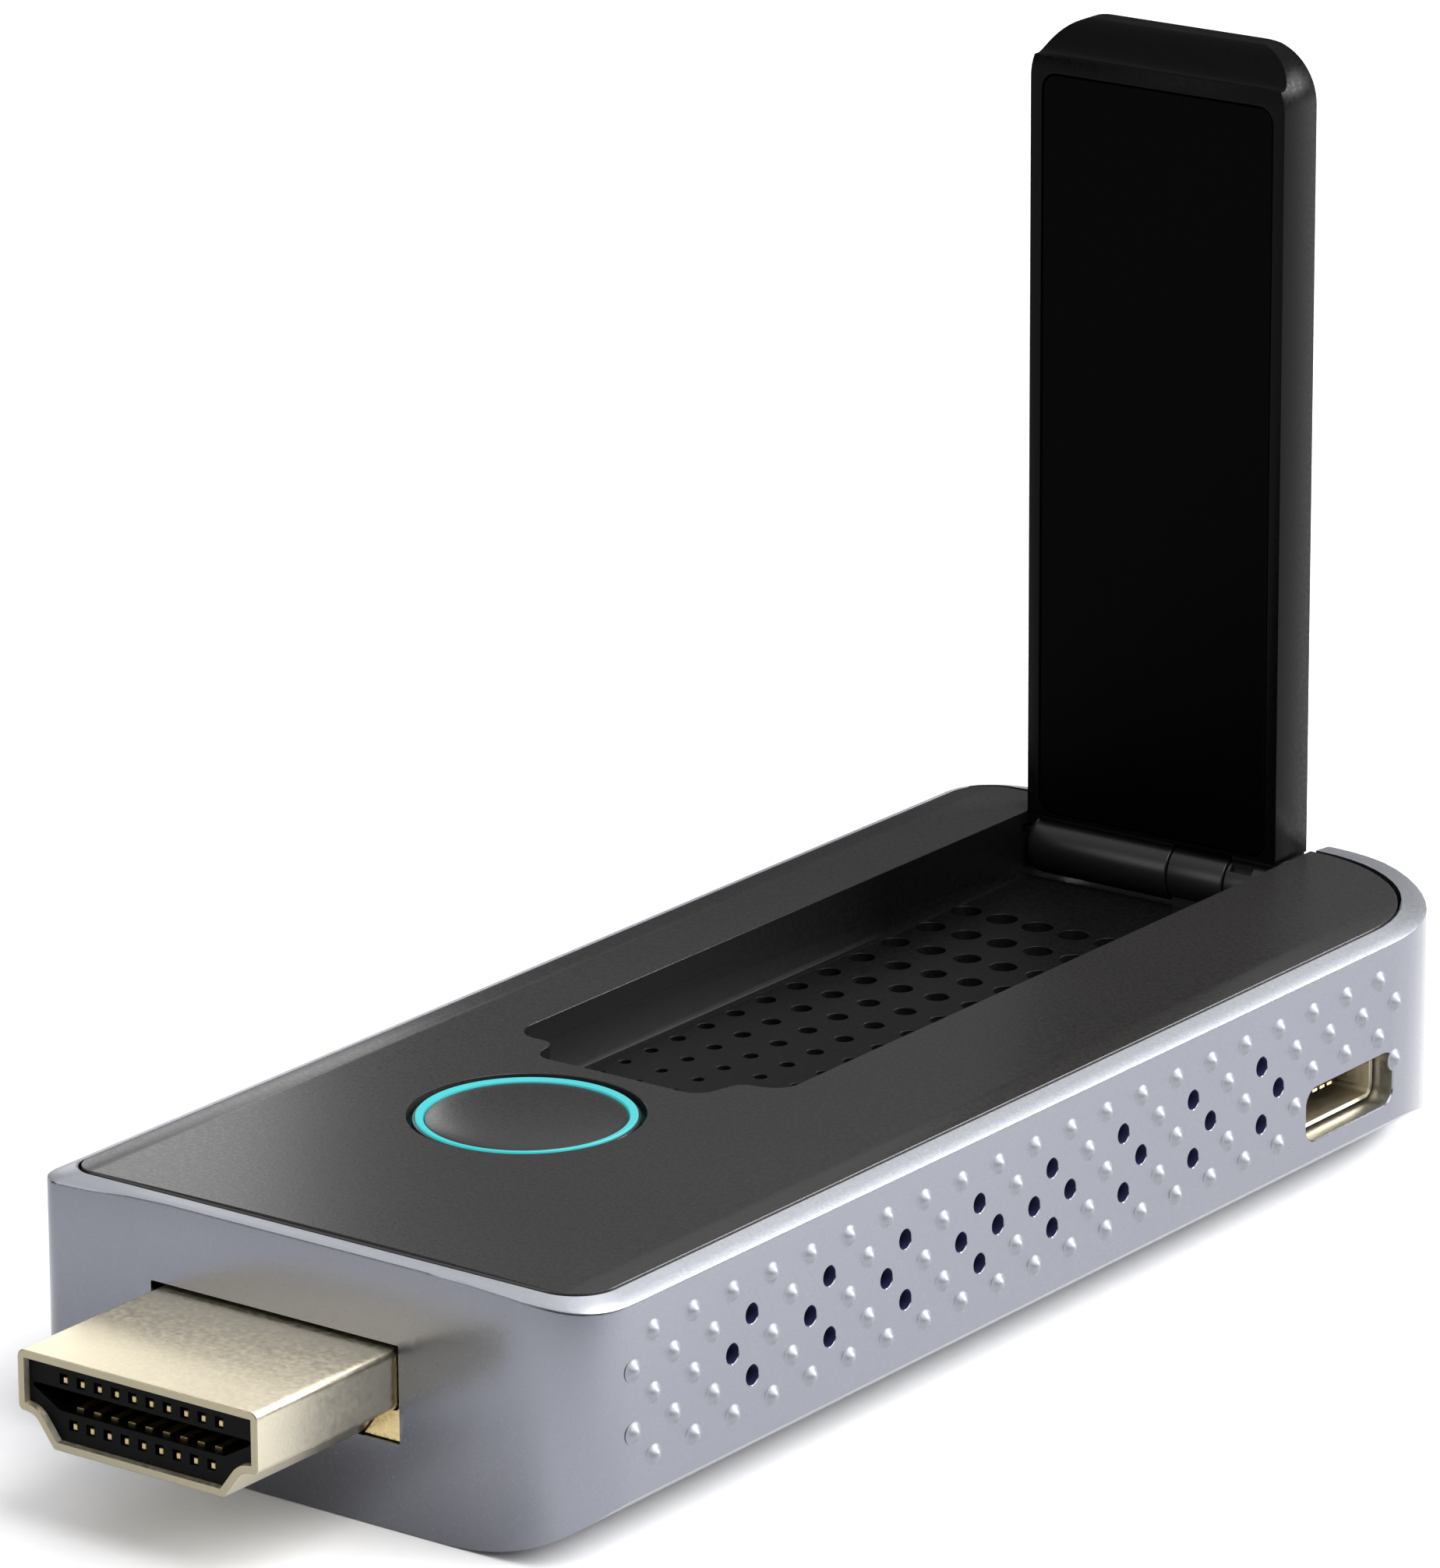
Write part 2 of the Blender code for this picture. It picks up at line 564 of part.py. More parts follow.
def make_blade():
    pivot = (0.0, behind_front(HINGE_Y), HINGE_Z)
    front, rear = (behind_front(y) for y in BLADE_Y)
    shell = prism("antenna_shell", BLADE_BLACK, blade_section(), BLADE_X, "X", pivot)
    face = prism("cut_blade_face", None,
                 rounded_rectangle(BLADE_X, (BLADE_BASE - 5, BLADE_TIP),
                                   (0.3, 0.3, BLADE_CORNER, BLADE_CORNER)), (FRONT, REAR + 5), "Y")
    keep_inside(shell, face)
    for side, x in (("left", (-9.5, -1.05)), ("right", (2.85, 5.5))):
        fuse(shell, hinge_cylinder("add_knuckle_" + side, None, x, BARREL, 20),
             block("add_web_" + side, None, x, (front + 0.15, rear - 0.02), (HINGE_Z, BLADE_BASE + 0.3)))
    cut(shell,
        hinge_cylinder("cut_coax_bore", None, (-10.0, -3.5), 1.15, 12),
        hinge_cylinder("cut_pin_bore", None, (-4.0, 6.5), PIN_BORE, 12),
        block("cut_panel_bed", None, (BLADE_X[0] + 0.45, BLADE_X[1] - 0.45),
              (front - 1, behind_front(72.0)), (13.75, 52.15)),
        block("cut_coax_way", None, (-7.7, -6.3), (behind_front(70.75), behind_front(72.0)),
              (HINGE_Z, 13.9)))
    block("antenna_panel", PANEL_BLACK, (BLADE_X[0] + 0.75, BLADE_X[1] - 0.75), (front, front + 0.8),
          (14.05, 51.85), pivot)
    block("antenna_board", SOLDER_MASK, (-8.4, 4.3), (front + 1.1, front + 1.5), (14.3, 50.5), pivot)


def make_coax():
    y = behind_front(HINGE_Y)
    feed = [(-11.6, behind_front(61.5), 8.0), (-11.6, behind_front(61.6), 8.8),
            (-11.9, behind_front(62.4), 9.7), (-12.5, behind_front(64.0), 10.5),
            (-13.1, behind_front(66.2), 11.0), (-13.4, behind_front(68.4), 11.2),
            (-13.2, behind_front(70.0), HINGE_Z), (-12.5, behind_front(71.0), HINGE_Z),
            (-11.5, y, HINGE_Z), (-8.1, y, HINGE_Z)]
    tube("coax_feed", JACKET, feed, COAX_RADIUS)
    tail = [(-7.8, y, HINGE_Z), (-7.3, y, HINGE_Z), (-7.05, y, HINGE_Z + 0.3), (-7.0, y, HINGE_Z + 0.8),
            (-7.0, y, 13.95)]
    tube("coax_tail", JACKET, tail, COAX_RADIUS)


make_housing()
make_cover()
make_label()
make_plug()
make_contacts()
make_board()
make_components()
make_screws()
make_usb()
make_button()
make_bay()
make_hinge()
make_blade()
make_coax()
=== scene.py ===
"""Looks of the streaming media player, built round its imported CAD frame.

Lengths are in millimetres, in the frame's axes: +Z up, -Y the way the plug points, +X the USB side.
Places come from the CAD nodes' boxes and from the record's joints.
"""
import json
import math

import bmesh
import bpy
from mathutils import Matrix, Vector


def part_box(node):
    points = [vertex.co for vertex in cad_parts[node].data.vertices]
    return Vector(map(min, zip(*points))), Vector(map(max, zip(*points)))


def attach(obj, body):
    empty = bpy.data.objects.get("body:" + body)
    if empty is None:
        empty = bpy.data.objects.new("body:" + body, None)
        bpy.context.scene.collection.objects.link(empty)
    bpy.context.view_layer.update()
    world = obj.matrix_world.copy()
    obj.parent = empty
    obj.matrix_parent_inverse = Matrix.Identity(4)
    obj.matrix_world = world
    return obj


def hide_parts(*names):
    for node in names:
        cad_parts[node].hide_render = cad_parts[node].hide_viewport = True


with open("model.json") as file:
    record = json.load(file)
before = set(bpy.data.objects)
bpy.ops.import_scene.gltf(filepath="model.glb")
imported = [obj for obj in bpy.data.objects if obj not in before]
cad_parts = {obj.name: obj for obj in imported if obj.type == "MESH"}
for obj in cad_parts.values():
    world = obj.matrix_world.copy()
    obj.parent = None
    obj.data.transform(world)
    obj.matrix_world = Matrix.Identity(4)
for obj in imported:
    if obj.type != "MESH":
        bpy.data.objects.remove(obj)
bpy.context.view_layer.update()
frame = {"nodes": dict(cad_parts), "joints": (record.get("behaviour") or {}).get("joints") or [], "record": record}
MM = 0.001


def box_mm(node):
    low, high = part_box(node)
    return [c / MM for c in low], [c / MM for c in high]


BODY_LOW, BODY_HIGH = box_mm("housing")
COVER_LOW, COVER_HIGH = box_mm("top_cover")
PLUG_LOW, PLUG_HIGH = box_mm("hdmi_shell")
TRAY_LOW, TRAY_HIGH = box_mm("antenna_bay")
USB_LOW, USB_HIGH = box_mm("usb_shell")
TONGUE_LOW, TONGUE_HIGH = box_mm("usb_tongue")
BLADE_LOW, BLADE_HIGH = box_mm("antenna_shell")
PANEL_LOW, PANEL_HIGH = box_mm("antenna_panel")
RING_LOW, RING_HIGH = box_mm("light_ring")
CAP_BOTTOM = box_mm("button_cap")[0][2]
GUIDE_LOW, GUIDE_HIGH = box_mm("button_guide")
KNUCKLE_LOW, KNUCKLE_HIGH = box_mm("hinge_base")
LABEL_LOW, LABEL_HIGH = box_mm("rating_label")
HINGE_JOINT = next(j for j in frame["joints"] if j["name"] == "antenna_fold")
PIVOT = [c / MM for c in HINGE_JOINT["pos_m"]]
AXIS = (PIVOT[1], PIVOT[2])  # the hinge line in (y, z)

FRONT, REAR = BODY_LOW[1], BODY_HIGH[1]
HALF_WIDTH = BODY_HIGH[0]
COVER_TOP = COVER_HIGH[2]
COVER_BOTTOM = COVER_LOW[2]
LINE = (PLUG_LOW[0] + PLUG_HIGH[0]) / 2  # the plug, the button and the holes share this centre line
BUTTON = (LINE, (RING_LOW[1] + RING_HIGH[1]) / 2)

# Body. Corners are (x radius, y radius, power): front left, front right, rear right, rear left.
CORNERS = ((1.3, 1.3, 2.0), (5.2, 3.4, 3.2), (10.2, 10.2, 2.0), (3.0, 3.0, 2.0))
COVER_CORNERS = ((1.6, 1.6, 2.0), (2.2, 2.2, 2.0), (8.9, 8.9, 2.0), (2.2, 2.2, 2.0))
UNDERSIDE_FLAT = 7.6  # the underside is flat this far from the middle
SIDE_BOTTOM = 3.2  # where the side walls start
UNDERSIDE_STEPS = 28
WALL = 1.3
RIM_DIP = 0.35  # the rim's lower edge sits this much lower along the sides
RIM_DIP_RANGE = (8.5, 15.0)  # where it goes down, as distances from the middle
RIM_BOTTOM = BODY_HIGH[2] - RIM_DIP
COVER_LINE = 0.1  # dark line between cover and rim

# Side lattice
LATTICE_START = 2.85  # first column, from the body's front
LATTICE_PITCH = 1.48
LATTICE_TOP = 10.8  # level of the top row
LATTICE_COLUMNS = 43
VENT_RADIUS = 0.49
VENT_DEPTH = 2.5
VENT_GROUPS = (5, 9, 13, 17)  # outer column of each group, repeated mirrored about the middle one
VENT_MIDDLE = 20
VENT_WALL_Y = (FRONT + 6, REAR - 12)  # the stretch of wall that holds the vents
STUD_RADIUS = 0.56
STUD_HEIGHT = 0.3
STUD_RINGS = 8
SMALL_STEPS = 20  # points round a small hole or a stud
HOLE_LIP = 0.06  # chamfer on the small holes

# Plug and USB openings
SLOT_HALF = 7.2
PLATE_ROOM = 8.8  # half width of the room for the plate behind the slot
PORT_Y = (USB_LOW[1] + 0.1, USB_HIGH[1] + 0.7)  # the socket's shell as seen in the opening
PORT_Z = (USB_LOW[2], USB_HIGH[2] - 0.15)
PORT_MOUTH = HALF_WIDTH - 1.1
PORT_CLEARANCE = 0.14
PORT_GAPS = {(37, 4), (38, 3), (39, 4), (40, 3), (41, 4)}  # no studs round the USB port

# Bay
TRAY_WALL = 0.8
BAY_FLOOR = TRAY_LOW[2] + TRAY_WALL
BAY_LEFT, BAY_RIGHT = TRAY_LOW[0] + TRAY_WALL, TRAY_HIGH[0] - TRAY_WALL
BAY_FRONT = TRAY_LOW[1] + TRAY_WALL
NAIL_FRONT = BAY_FRONT - 2.1  # front of the fingernail notch
NAIL_SIDE = 2.9  # how much narrower it is than the bay, on either side
NOTCH_START = 72.0  # the open notch behind the hinge, from the body's front
NOTCH_BOTTOM = 10.3
TROUGH_RADIUS = 1.93  # the bay's floor gives way round the knuckles
HOLE_ROWS = range(-3, 12)
HOLE_COLUMNS = 7
HOLE_PITCH = 2.2  # across
HOLE_START, HOLE_STEP, HOLE_SPREAD = 34.92, 2.02, 0.0526  # row 0 from the front, then a growing step
HOLE_RADIUS, HOLE_GROWTH = 0.3, 0.046

# Top cover
CROWN_HALF = 16.0
CROWN_STEPS = 48
CROWN_RISE = 0.1  # in the middle, over the cover's nominal top
CROWN_DROP, CROWN_REACH = 0.12, 15.0  # it falls by the first at the second from the middle
BUTTON_HOLE = 5.62


def behind_front(distance):
    return FRONT + distance


def around(middle, half):
    return middle - half, middle + half


def widened(span, margin):
    return span[0] - margin, span[1] + margin


def extent(low, high, axis, margin=0.0):
    """What a box spans along an axis, grown by a margin at both ends."""
    return widened((low[axis], high[axis]), margin)


# Outlines

def outline(x_range, y_range, corners, steps=14, straight=12):
    """A closed outline whose corners are (x radius, y radius, power); power 2 is an ellipse."""
    (x0, x1), (y0, y1) = x_range, y_range
    signs = ((-1, -1), (1, -1), (1, 1), (-1, 1))
    points = []
    for (rx, ry, power), (sx, sy), start in zip(corners, signs, (180, 270, 0, 90)):
        centre = ((x0 + rx) if sx < 0 else (x1 - rx), (y0 + ry) if sy < 0 else (y1 - ry))
        for i in range(steps + 1):
            angle = math.radians(start + 90 * i / steps)
            c, s = math.cos(angle), math.sin(angle)
            points.append((centre[0] + rx * math.copysign(abs(c) ** (2 / power), c),
                           centre[1] + ry * math.copysign(abs(s) ** (2 / power), s)))
    stretched = []
    for i, point in enumerate(points):
        stretched.append(point)
        if i % (steps + 1) == steps:
            following = points[(i + 1) % len(points)]
            stretched += [tuple(a + (b - a) * k / straight for a, b in zip(point, following))
                          for k in range(1, straight)]
    return stretched


def rounded(corners, steps=8):
    """A polygon of (u, v, radius) with each corner filleted."""
    points = []
    count = len(corners)
    for i in range(count):
        before, here, after = (Vector(corners[j % count][:2]) for j in (i - 1, i, i + 1))
        radius = corners[i][2]
        if radius <= 0:
            points.append(tuple(here))
            continue
        towards, onwards = (before - here).normalized(), (after - here).normalized()
        half = towards.angle(onwards) / 2
        centre = here + (towards + onwards).normalized() * radius / math.sin(half)
        first = here + towards * radius / math.tan(half) - centre
        last = here + onwards * radius / math.tan(half) - centre
        start = math.atan2(first.y, first.x)
        sweep = math.atan2(first.x * last.y - first.y * last.x, first.dot(last))
        points += [(centre.x + radius * math.cos(start + sweep * k / steps),
                    centre.y + radius * math.sin(start + sweep * k / steps)) for k in range(steps + 1)]
    return points


def rectangle(u_range, v_range, radius, steps=8):
    (u0, u1), (v0, v1) = u_range, v_range
    return rounded([(u0, v0, radius), (u1, v0, radius), (u1, v1, radius), (u0, v1, radius)], steps)


def inset(points, distance):
    """The outline moved inwards by a distance (outwards if it is negative)."""
    moved = []
    count = len(points)
    for i in range(count):
        before, here, after = (Vector(points[j % count]) for j in (i - 1, i, i + 1))
        normals = [Vector((-edge.y, edge.x)).normalized() for edge in (here - before, after - here)]
        bisector = (normals[0] + normals[1]).normalized()
        corner = here + bisector * distance / max(0.5, bisector.dot(normals[0]))
        moved.append((corner.x, corner.y))
    return moved


def shrunk(corners, distance):
    """The corners of a filleted polygon moved inwards, with their radii kept concentric."""
    moved = inset([corner[:2] for corner in corners], distance)
    result = []
    for i, (u, v, radius) in enumerate(corners):
        before, here, after = (Vector(corners[j % len(corners)][:2]) for j in (i - 1, i, i + 1))
        turn = (here - before).cross(after - here)
        result.append((*moved[i], max(0.03, radius - math.copysign(distance, turn))))
    return result


def circle(centre, radius, steps=24):
    return [(centre[0] + radius * math.cos(2 * math.pi * i / steps),
             centre[1] + radius * math.sin(2 * math.pi * i / steps)) for i in range(steps)]


# Solids, as bmeshes in millimetres

def loft(rings, bm=None, closed=False):
    """Faces between rings of points; the ends are capped, or joined to each other if closed."""
    bm = bm or bmesh.new()
    loops = [[bm.verts.new(point) for point in ring] for ring in rings]
    pairs = list(zip(loops, loops[1:]))
    if closed:
        pairs.append((loops[-1], loops[0]))
    for lower, upper in pairs:
        for i in range(len(lower)):
            j = (i + 1) % len(lower)
            bm.faces.new((lower[i], lower[j], upper[j], upper[i]))
    if not closed:
        bm.faces.new(loops[0][::-1])
        bm.faces.new(loops[-1])
    return bm


AXES = {"Z": lambda u, v, w: (u, v, w), "Y": lambda u, v, w: (u, w, v), "X": lambda u, v, w: (w, u, v)}


def prism(points, span, along="Z", bm=None):
    """An outline pushed through a span: (x, y) along Z, (x, z) along Y, or (y, z) along X."""
    return loft([[AXES[along](u, v, w) for u, v in points] for w in span], bm)


def stepped(layers, along="Z", bm=None):
    """Outlines at rising levels: [(outline, level), ...]."""
    return loft([[AXES[along](u, v, level) for u, v in points] for points, level in layers], bm)


def block(x, y, z, bm=None):
    return prism([(x[0], y[0]), (x[1], y[0]), (x[1], y[1]), (x[0], y[1])], z, "Z", bm)


def turned(profile, centre, steps=96, closed=False, along="Z"):
    """A profile of (radius, level) turned about an axis through centre."""
    rings = [[AXES[along](u, v, level) for u, v in circle(centre, max(radius, 0.001), steps)]
             for radius, level in profile]
    return loft(rings, closed=closed)


def drill(spot, radius, surface, depth, along, bm, side=1):
    """A cutter for a small hole with a chamfered lip; side is -1 for the surface's mirror image."""
    rings = ((radius, -depth), (radius, -HOLE_LIP / 2), (radius + HOLE_LIP, HOLE_LIP / 2))
    stepped([(circle(spot, r, SMALL_STEPS), side * (surface + level)) for r, level in rings], along, bm)


def merged(bm, other):
    """The first mesh with everything in the other moved into it."""
    copies = {v: bm.verts.new(v.co) for v in other.verts}
    for face in other.faces:
        bm.faces.new([copies[v] for v in face.verts])
    other.free()
    return bm


def temporary(bm):
    bmesh.ops.recalc_face_normals(bm, faces=bm.faces)
    mesh = bpy.data.meshes.new("temporary")
    bm.to_mesh(mesh)
    bm.free()
    obj = bpy.data.objects.new("temporary", mesh)
    bpy.context.scene.collection.objects.link(obj)
    return obj


def combine(bm, operation, *tools):
    """The solid after a boolean with each tool in turn."""
    target = temporary(bm)
    helpers = [temporary(tool) for tool in tools]
    for helper in helpers:
        step = target.modifiers.new("step", "BOOLEAN")
        step.operation = operation
        step.solver = "EXACT"
        step.object = helper
    bpy.context.view_layer.update()
    graph = bpy.context.evaluated_depsgraph_get()
    made = bpy.data.meshes.new_from_object(target.evaluated_get(graph))
    result = bmesh.new()
    result.from_mesh(made)
    for mesh in [made] + [o.data for o in (target, *helpers)]:
        bpy.data.meshes.remove(mesh)
    return result


def cut(bm, *tools):
    return combine(bm, "DIFFERENCE", *tools)


def soften(bm, width, angle=35, segments=2, chosen=None):
    """Bevel the edges sharper than an angle."""
    bm.normal_update()
    edges = [e for e in bm.edges if len(e.link_faces) == 2
             and e.calc_face_angle(0) > math.radians(angle) and (chosen is None or chosen(e))]
    bmesh.ops.bevel(bm, geom=edges, offset=width, segments=segments, profile=0.5, affect="EDGES",
                    clamp_overlap=True)
    return bm


def piece(name, bm, look, body, slot, *nodes, sharp=32):
    """Turn a bmesh into a piece that rides on a body and stands for some CAD nodes."""
    bmesh.ops.remove_doubles(bm, verts=bm.verts, dist=0.0005)
    bmesh.ops.recalc_face_normals(bm, faces=bm.faces)
    bmesh.ops.scale(bm, verts=bm.verts, vec=(MM, MM, MM))
    mesh = bpy.data.meshes.new(name)
    bm.to_mesh(mesh)
    bm.free()
    mesh.shade_smooth()
    mesh.set_sharp_from_angle(angle=math.radians(sharp))
    mesh.materials.append(look)
    obj = bpy.data.objects.new(name, mesh)
    bpy.context.scene.collection.objects.link(obj)
    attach(obj, body)
    if nodes:
        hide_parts(*nodes)
    return obj


def repaint(obj, looks, choose):
    """Give some faces another look: choose(normal, centre in mm) returns one of the looks, or None."""
    for look in looks:
        obj.data.materials.append(look)
    for face in obj.data.polygons:
        look = choose(face.normal, face.center / MM)
        if look is not None:
            face.material_index = 1 + looks.index(look)


# Materials

CLOUDS = 60.0  # scale of the broad unevenness
NOISE_LOW, NOISE_HIGH = 0.3, 0.7  # where most of a noise texture's values lie


def material(name, colour, roughness, metallic=0.0, grain=6000.0, contrast=0.06, rough_spread=0.08,
             bump=0.15, bump_scale=9000.0, bump_depth=0.00001, stretch=(1.0, 1.0, 1.0), glow=None,
             coat=0.0, specular=0.5):
    """A shader with fine grain in colour and roughness, broad unevenness, and a fine bump.

    Noise scales are per metre, bump_depth is in metres, and glow is (colour, strength).
    """
    made = bpy.data.materials.new(name)
    made.use_nodes = True
    tree = made.node_tree
    shader = tree.nodes["Principled BSDF"]
    shader.inputs["Metallic"].default_value = metallic
    shader.inputs["Coat Weight"].default_value = coat
    shader.inputs["Specular IOR Level"].default_value = specular
    place = tree.nodes.new("ShaderNodeTexCoord")
    mapping = tree.nodes.new("ShaderNodeMapping")
    mapping.inputs["Scale"].default_value = stretch
    tree.links.new(place.outputs["Object"], mapping.inputs["Vector"])

    def noise(scale, detail=3.0):
        node = tree.nodes.new("ShaderNodeTexNoise")
        node.inputs["Scale"].default_value = scale
        node.inputs["Detail"].default_value = detail
        tree.links.new(mapping.outputs["Vector"], node.inputs["Vector"])
        return node.outputs["Fac"]

    def ranged(source, low, high):
        node = tree.nodes.new("ShaderNodeMapRange")
        node.inputs["From Min"].default_value = NOISE_LOW
        node.inputs["From Max"].default_value = NOISE_HIGH
        node.inputs["To Min"].default_value = low
        node.inputs["To Max"].default_value = high
        tree.links.new(source, node.inputs["Value"])
        return node.outputs["Result"]

    fine, broad = noise(grain), noise(CLOUDS, 2.0)
    mixed = tree.nodes.new("ShaderNodeMath")
    mixed.operation = "MULTIPLY"
    tree.links.new(ranged(fine, 1 - contrast, 1 + contrast), mixed.inputs[0])
    tree.links.new(ranged(broad, 1 - contrast / 2, 1 + contrast / 2), mixed.inputs[1])
    tint = tree.nodes.new("ShaderNodeMix")
    tint.data_type = "RGBA"
    tint.blend_type = "MULTIPLY"
    tint.inputs["Factor"].default_value = 1.0
    tint.inputs["A"].default_value = (*colour, 1.0)
    tree.links.new(mixed.outputs[0], tint.inputs["B"])
    tree.links.new(tint.outputs["Result"], shader.inputs["Base Color"])
    roughened = ranged(fine, roughness - rough_spread, roughness + rough_spread)
    tree.links.new(roughened, shader.inputs["Roughness"])
    if bump:
        relief = tree.nodes.new("ShaderNodeBump")
        relief.inputs["Strength"].default_value = bump
        relief.inputs["Distance"].default_value = bump_depth
        tree.links.new(noise(bump_scale, 4.0), relief.inputs["Height"])
        tree.links.new(relief.outputs["Normal"], shader.inputs["Normal"])
    if glow:
        shader.inputs["Emission Color"].default_value = (*glow[0], 1.0)
        shader.inputs["Emission Strength"].default_value = glow[1]
    return made


SILVER = material("blasted_silver", (0.163, 0.168, 0.193), 0.25, 0.95, grain=7000, contrast=0.035,
                  rough_spread=0.03, bump=0.25, bump_scale=11000)
# Painted highlight: the rim is a lighter copy of the housing's silver, standing in for the sheen its slopes catch.
RIM_HIGHLIGHT = material("rim_painted_highlight", (0.42, 0.43, 0.465), 0.42, 0.95, grain=7000, contrast=0.03, rough_spread=0.03,
               bump=0.2, bump_scale=11000)
# Painted highlight: the studs are a lighter copy of the housing's silver, so the domes look lit.
STUD_HIGHLIGHT = material("stud_silver_painted_highlight", (0.2, 0.205, 0.228), 0.52, 0.9, grain=7000, contrast=0.03, bump=0.1)
# Painted shade: navy-black for the vents' walls, so the holes look dark inside.
VENT_SHADE = material("vent_painted_shade", (0.016, 0.017, 0.05), 0.55, grain=7000, contrast=0.1, bump=0.2, specular=0.1)
# Painted highlight: the knuckles' black is lighter than the blade's, for the light their barrels catch; their
# higher specular is real gloss.
HINGE_HIGHLIGHT = material("black_hinge_painted_highlight", (0.0075, 0.007, 0.0068), 0.33, grain=9000, contrast=0.1, rough_spread=0.02,
                 bump=0.03, specular=0.4)
COVER = material("satin_cover", (0.017, 0.0162, 0.0159), 0.29, specular=0.3, grain=5200, contrast=0.14,
                 rough_spread=0.04, bump=0.4, bump_scale=6500)
BAY = material("black_bay", (0.003, 0.0028, 0.0028), 0.45, grain=5000, contrast=0.2, bump=0.25, specular=0.12)
BLADE = material("black_blade", (0.0018, 0.0016, 0.0016), 0.34, grain=5000, contrast=0.15, bump=0.2,
                 specular=0.045)
PANEL = material("black_panel", (0.0007, 0.0006, 0.0007), 0.4, grain=5000, contrast=0.15, bump=0.15,
                 specular=0.015)
PORT_WALL = material("port_wall", (0.40, 0.385, 0.345), 0.36, 0.95, grain=5000, contrast=0.04, bump=0.05)
# Painted light: lighter plating for the plug's top as painted highlight, darker plating for its cut edge as
# painted shade.
PLUG_TOP_HIGHLIGHT = material("champagne_painted_highlight", (0.84, 0.76, 0.57), 0.38, 1.0, grain=3600, contrast=0.06,
                    rough_spread=0.06, bump=0.5, bump_scale=5200, bump_depth=0.000018)
PLUG_EDGE_SHADE = material("champagne_painted_shade", (0.26, 0.235, 0.165), 0.34, 1.0, grain=3600, contrast=0.05, bump=0.2)
CHAMPAGNE = material("champagne_plating", (0.47, 0.435, 0.345), 0.36, 1.0, grain=3600, contrast=0.05,
                     rough_spread=0.06, bump=0.4, bump_scale=5200, bump_depth=0.000016)
GOLD = material("gold_plating", (0.82, 0.66, 0.34), 0.3, 1.0, grain=5000, contrast=0.1, bump=0.2)
PIN = material("pin_plating", (0.40, 0.31, 0.15), 0.35, 1.0, grain=5000, contrast=0.1, bump=0.1)
INSULATOR = material("black_insulator", (0.0015, 0.0014, 0.0014), 0.5, grain=6000, contrast=0.2, bump=0.2,
                     specular=0.05)
SOLDER_MASK = material("solder_mask", (0.02, 0.04, 0.16), 0.35, grain=2500, contrast=0.15, coat=0.3)
PACKAGE = material("chip_package", (0.03, 0.03, 0.03), 0.6, grain=8000, contrast=0.2, bump=0.5)
TINPLATE = material("tinplate", (0.6, 0.6, 0.58), 0.3, 1.0, grain=3000, contrast=0.08,
                    stretch=(1.0, 8.0, 8.0))
ALUMINIUM = material("rolled_aluminium", (0.6, 0.6, 0.6), 0.4, 1.0, grain=3000, contrast=0.08,
                     stretch=(8.0, 1.0, 8.0))
PAD = material("thermal_pad", (0.35, 0.4, 0.45), 0.85, grain=4000, contrast=0.1, bump=0.5)
STEEL = material("steel", (0.5, 0.5, 0.5), 0.3, 1.0, grain=4000, contrast=0.08, stretch=(1.0, 6.0, 6.0))
FERRITE = material("ferrite", (0.12, 0.12, 0.12), 0.7, grain=5000, contrast=0.2, bump=0.5)
LIGHT = material("light_guide", (0.012, 0.10, 0.11), 0.5, grain=3000, contrast=0.06,
                 glow=((0.045, 0.70, 0.72), 0.66))
LED = material("led_body", (0.8, 0.8, 0.7), 0.4, grain=5000, contrast=0.06)
JACKET = material("coax_jacket", (0.03, 0.03, 0.03), 0.5, grain=6000, contrast=0.15, bump=0.4)
LABEL = material("label_film", (0.42, 0.43, 0.45), 0.5, grain=4000, contrast=0.05, bump=0.2)

SLOT_LOOKS = {
    "silver_housing": SILVER, "dark_cover": COVER, "black_bay": BAY, "black_antenna": BLADE,
    "black_panel": PANEL, "champagne_plating": CHAMPAGNE, "gold_plating": GOLD,
    "black_insulator": INSULATOR, "board_solder_mask": SOLDER_MASK, "chip_package": PACKAGE,
    "tinned_steel": TINPLATE, "bare_aluminium": ALUMINIUM, "thermal_pad": PAD, "steel": STEEL,
    "ferrite": FERRITE, "light_guide": LIGHT, "led_body": LED, "coax_jacket": JACKET,
    "blank_label": LABEL}


def dress_cad_nodes():
    for part in frame["record"]["subparts"]:
        mesh = frame["nodes"][part["node"]].data
        mesh.materials.clear()
        mesh.materials.append(SLOT_LOOKS[part["material_slot"]])


# Housing

def smooth_step(value, start, end):
    t = min(1.0, max(0.0, (value - start) / (end - start)))
    return t * t * (3 - 2 * t)


def section(lift):
    """Everything above the curved underside: flat in the middle, then arcs that run on past the walls."""
    run = HALF_WIDTH - UNDERSIDE_FLAT
    radius = (run * run + SIDE_BOTTOM * SIDE_BOTTOM) / (2 * SIDE_BOTTOM)
    sweep = math.asin((run + 1.5) / radius)
    right = []
    for i in range(UNDERSIDE_STEPS + 1):
        angle = sweep * i / UNDERSIDE_STEPS
        right.append((UNDERSIDE_FLAT + radius * math.sin(angle), lift + radius * (1 - math.cos(angle))))
    right.append((right[-1][0], 30.0))
    left = [(-x, z) for x, z in reversed(right)]
    return prism(right + left, (FRONT - 5, REAR + 5), "Y")


def lattice():
    """(column, level, is a vent) for every point of the checkerboard."""
    vents = {(VENT_MIDDLE - 1, 2), (VENT_MIDDLE + 1, 2)}
    for column in VENT_GROUPS:
        for side in (-1, 1):
            outer = VENT_MIDDLE + side * (VENT_MIDDLE - column)
            vents |= {(outer, 2), (outer - side, 1), (outer - side, 3)}
    return [(column, level, (column, level) in vents) for column in range(LATTICE_COLUMNS)
            for level in ((0, 2, 4) if column % 2 else (1, 3))]


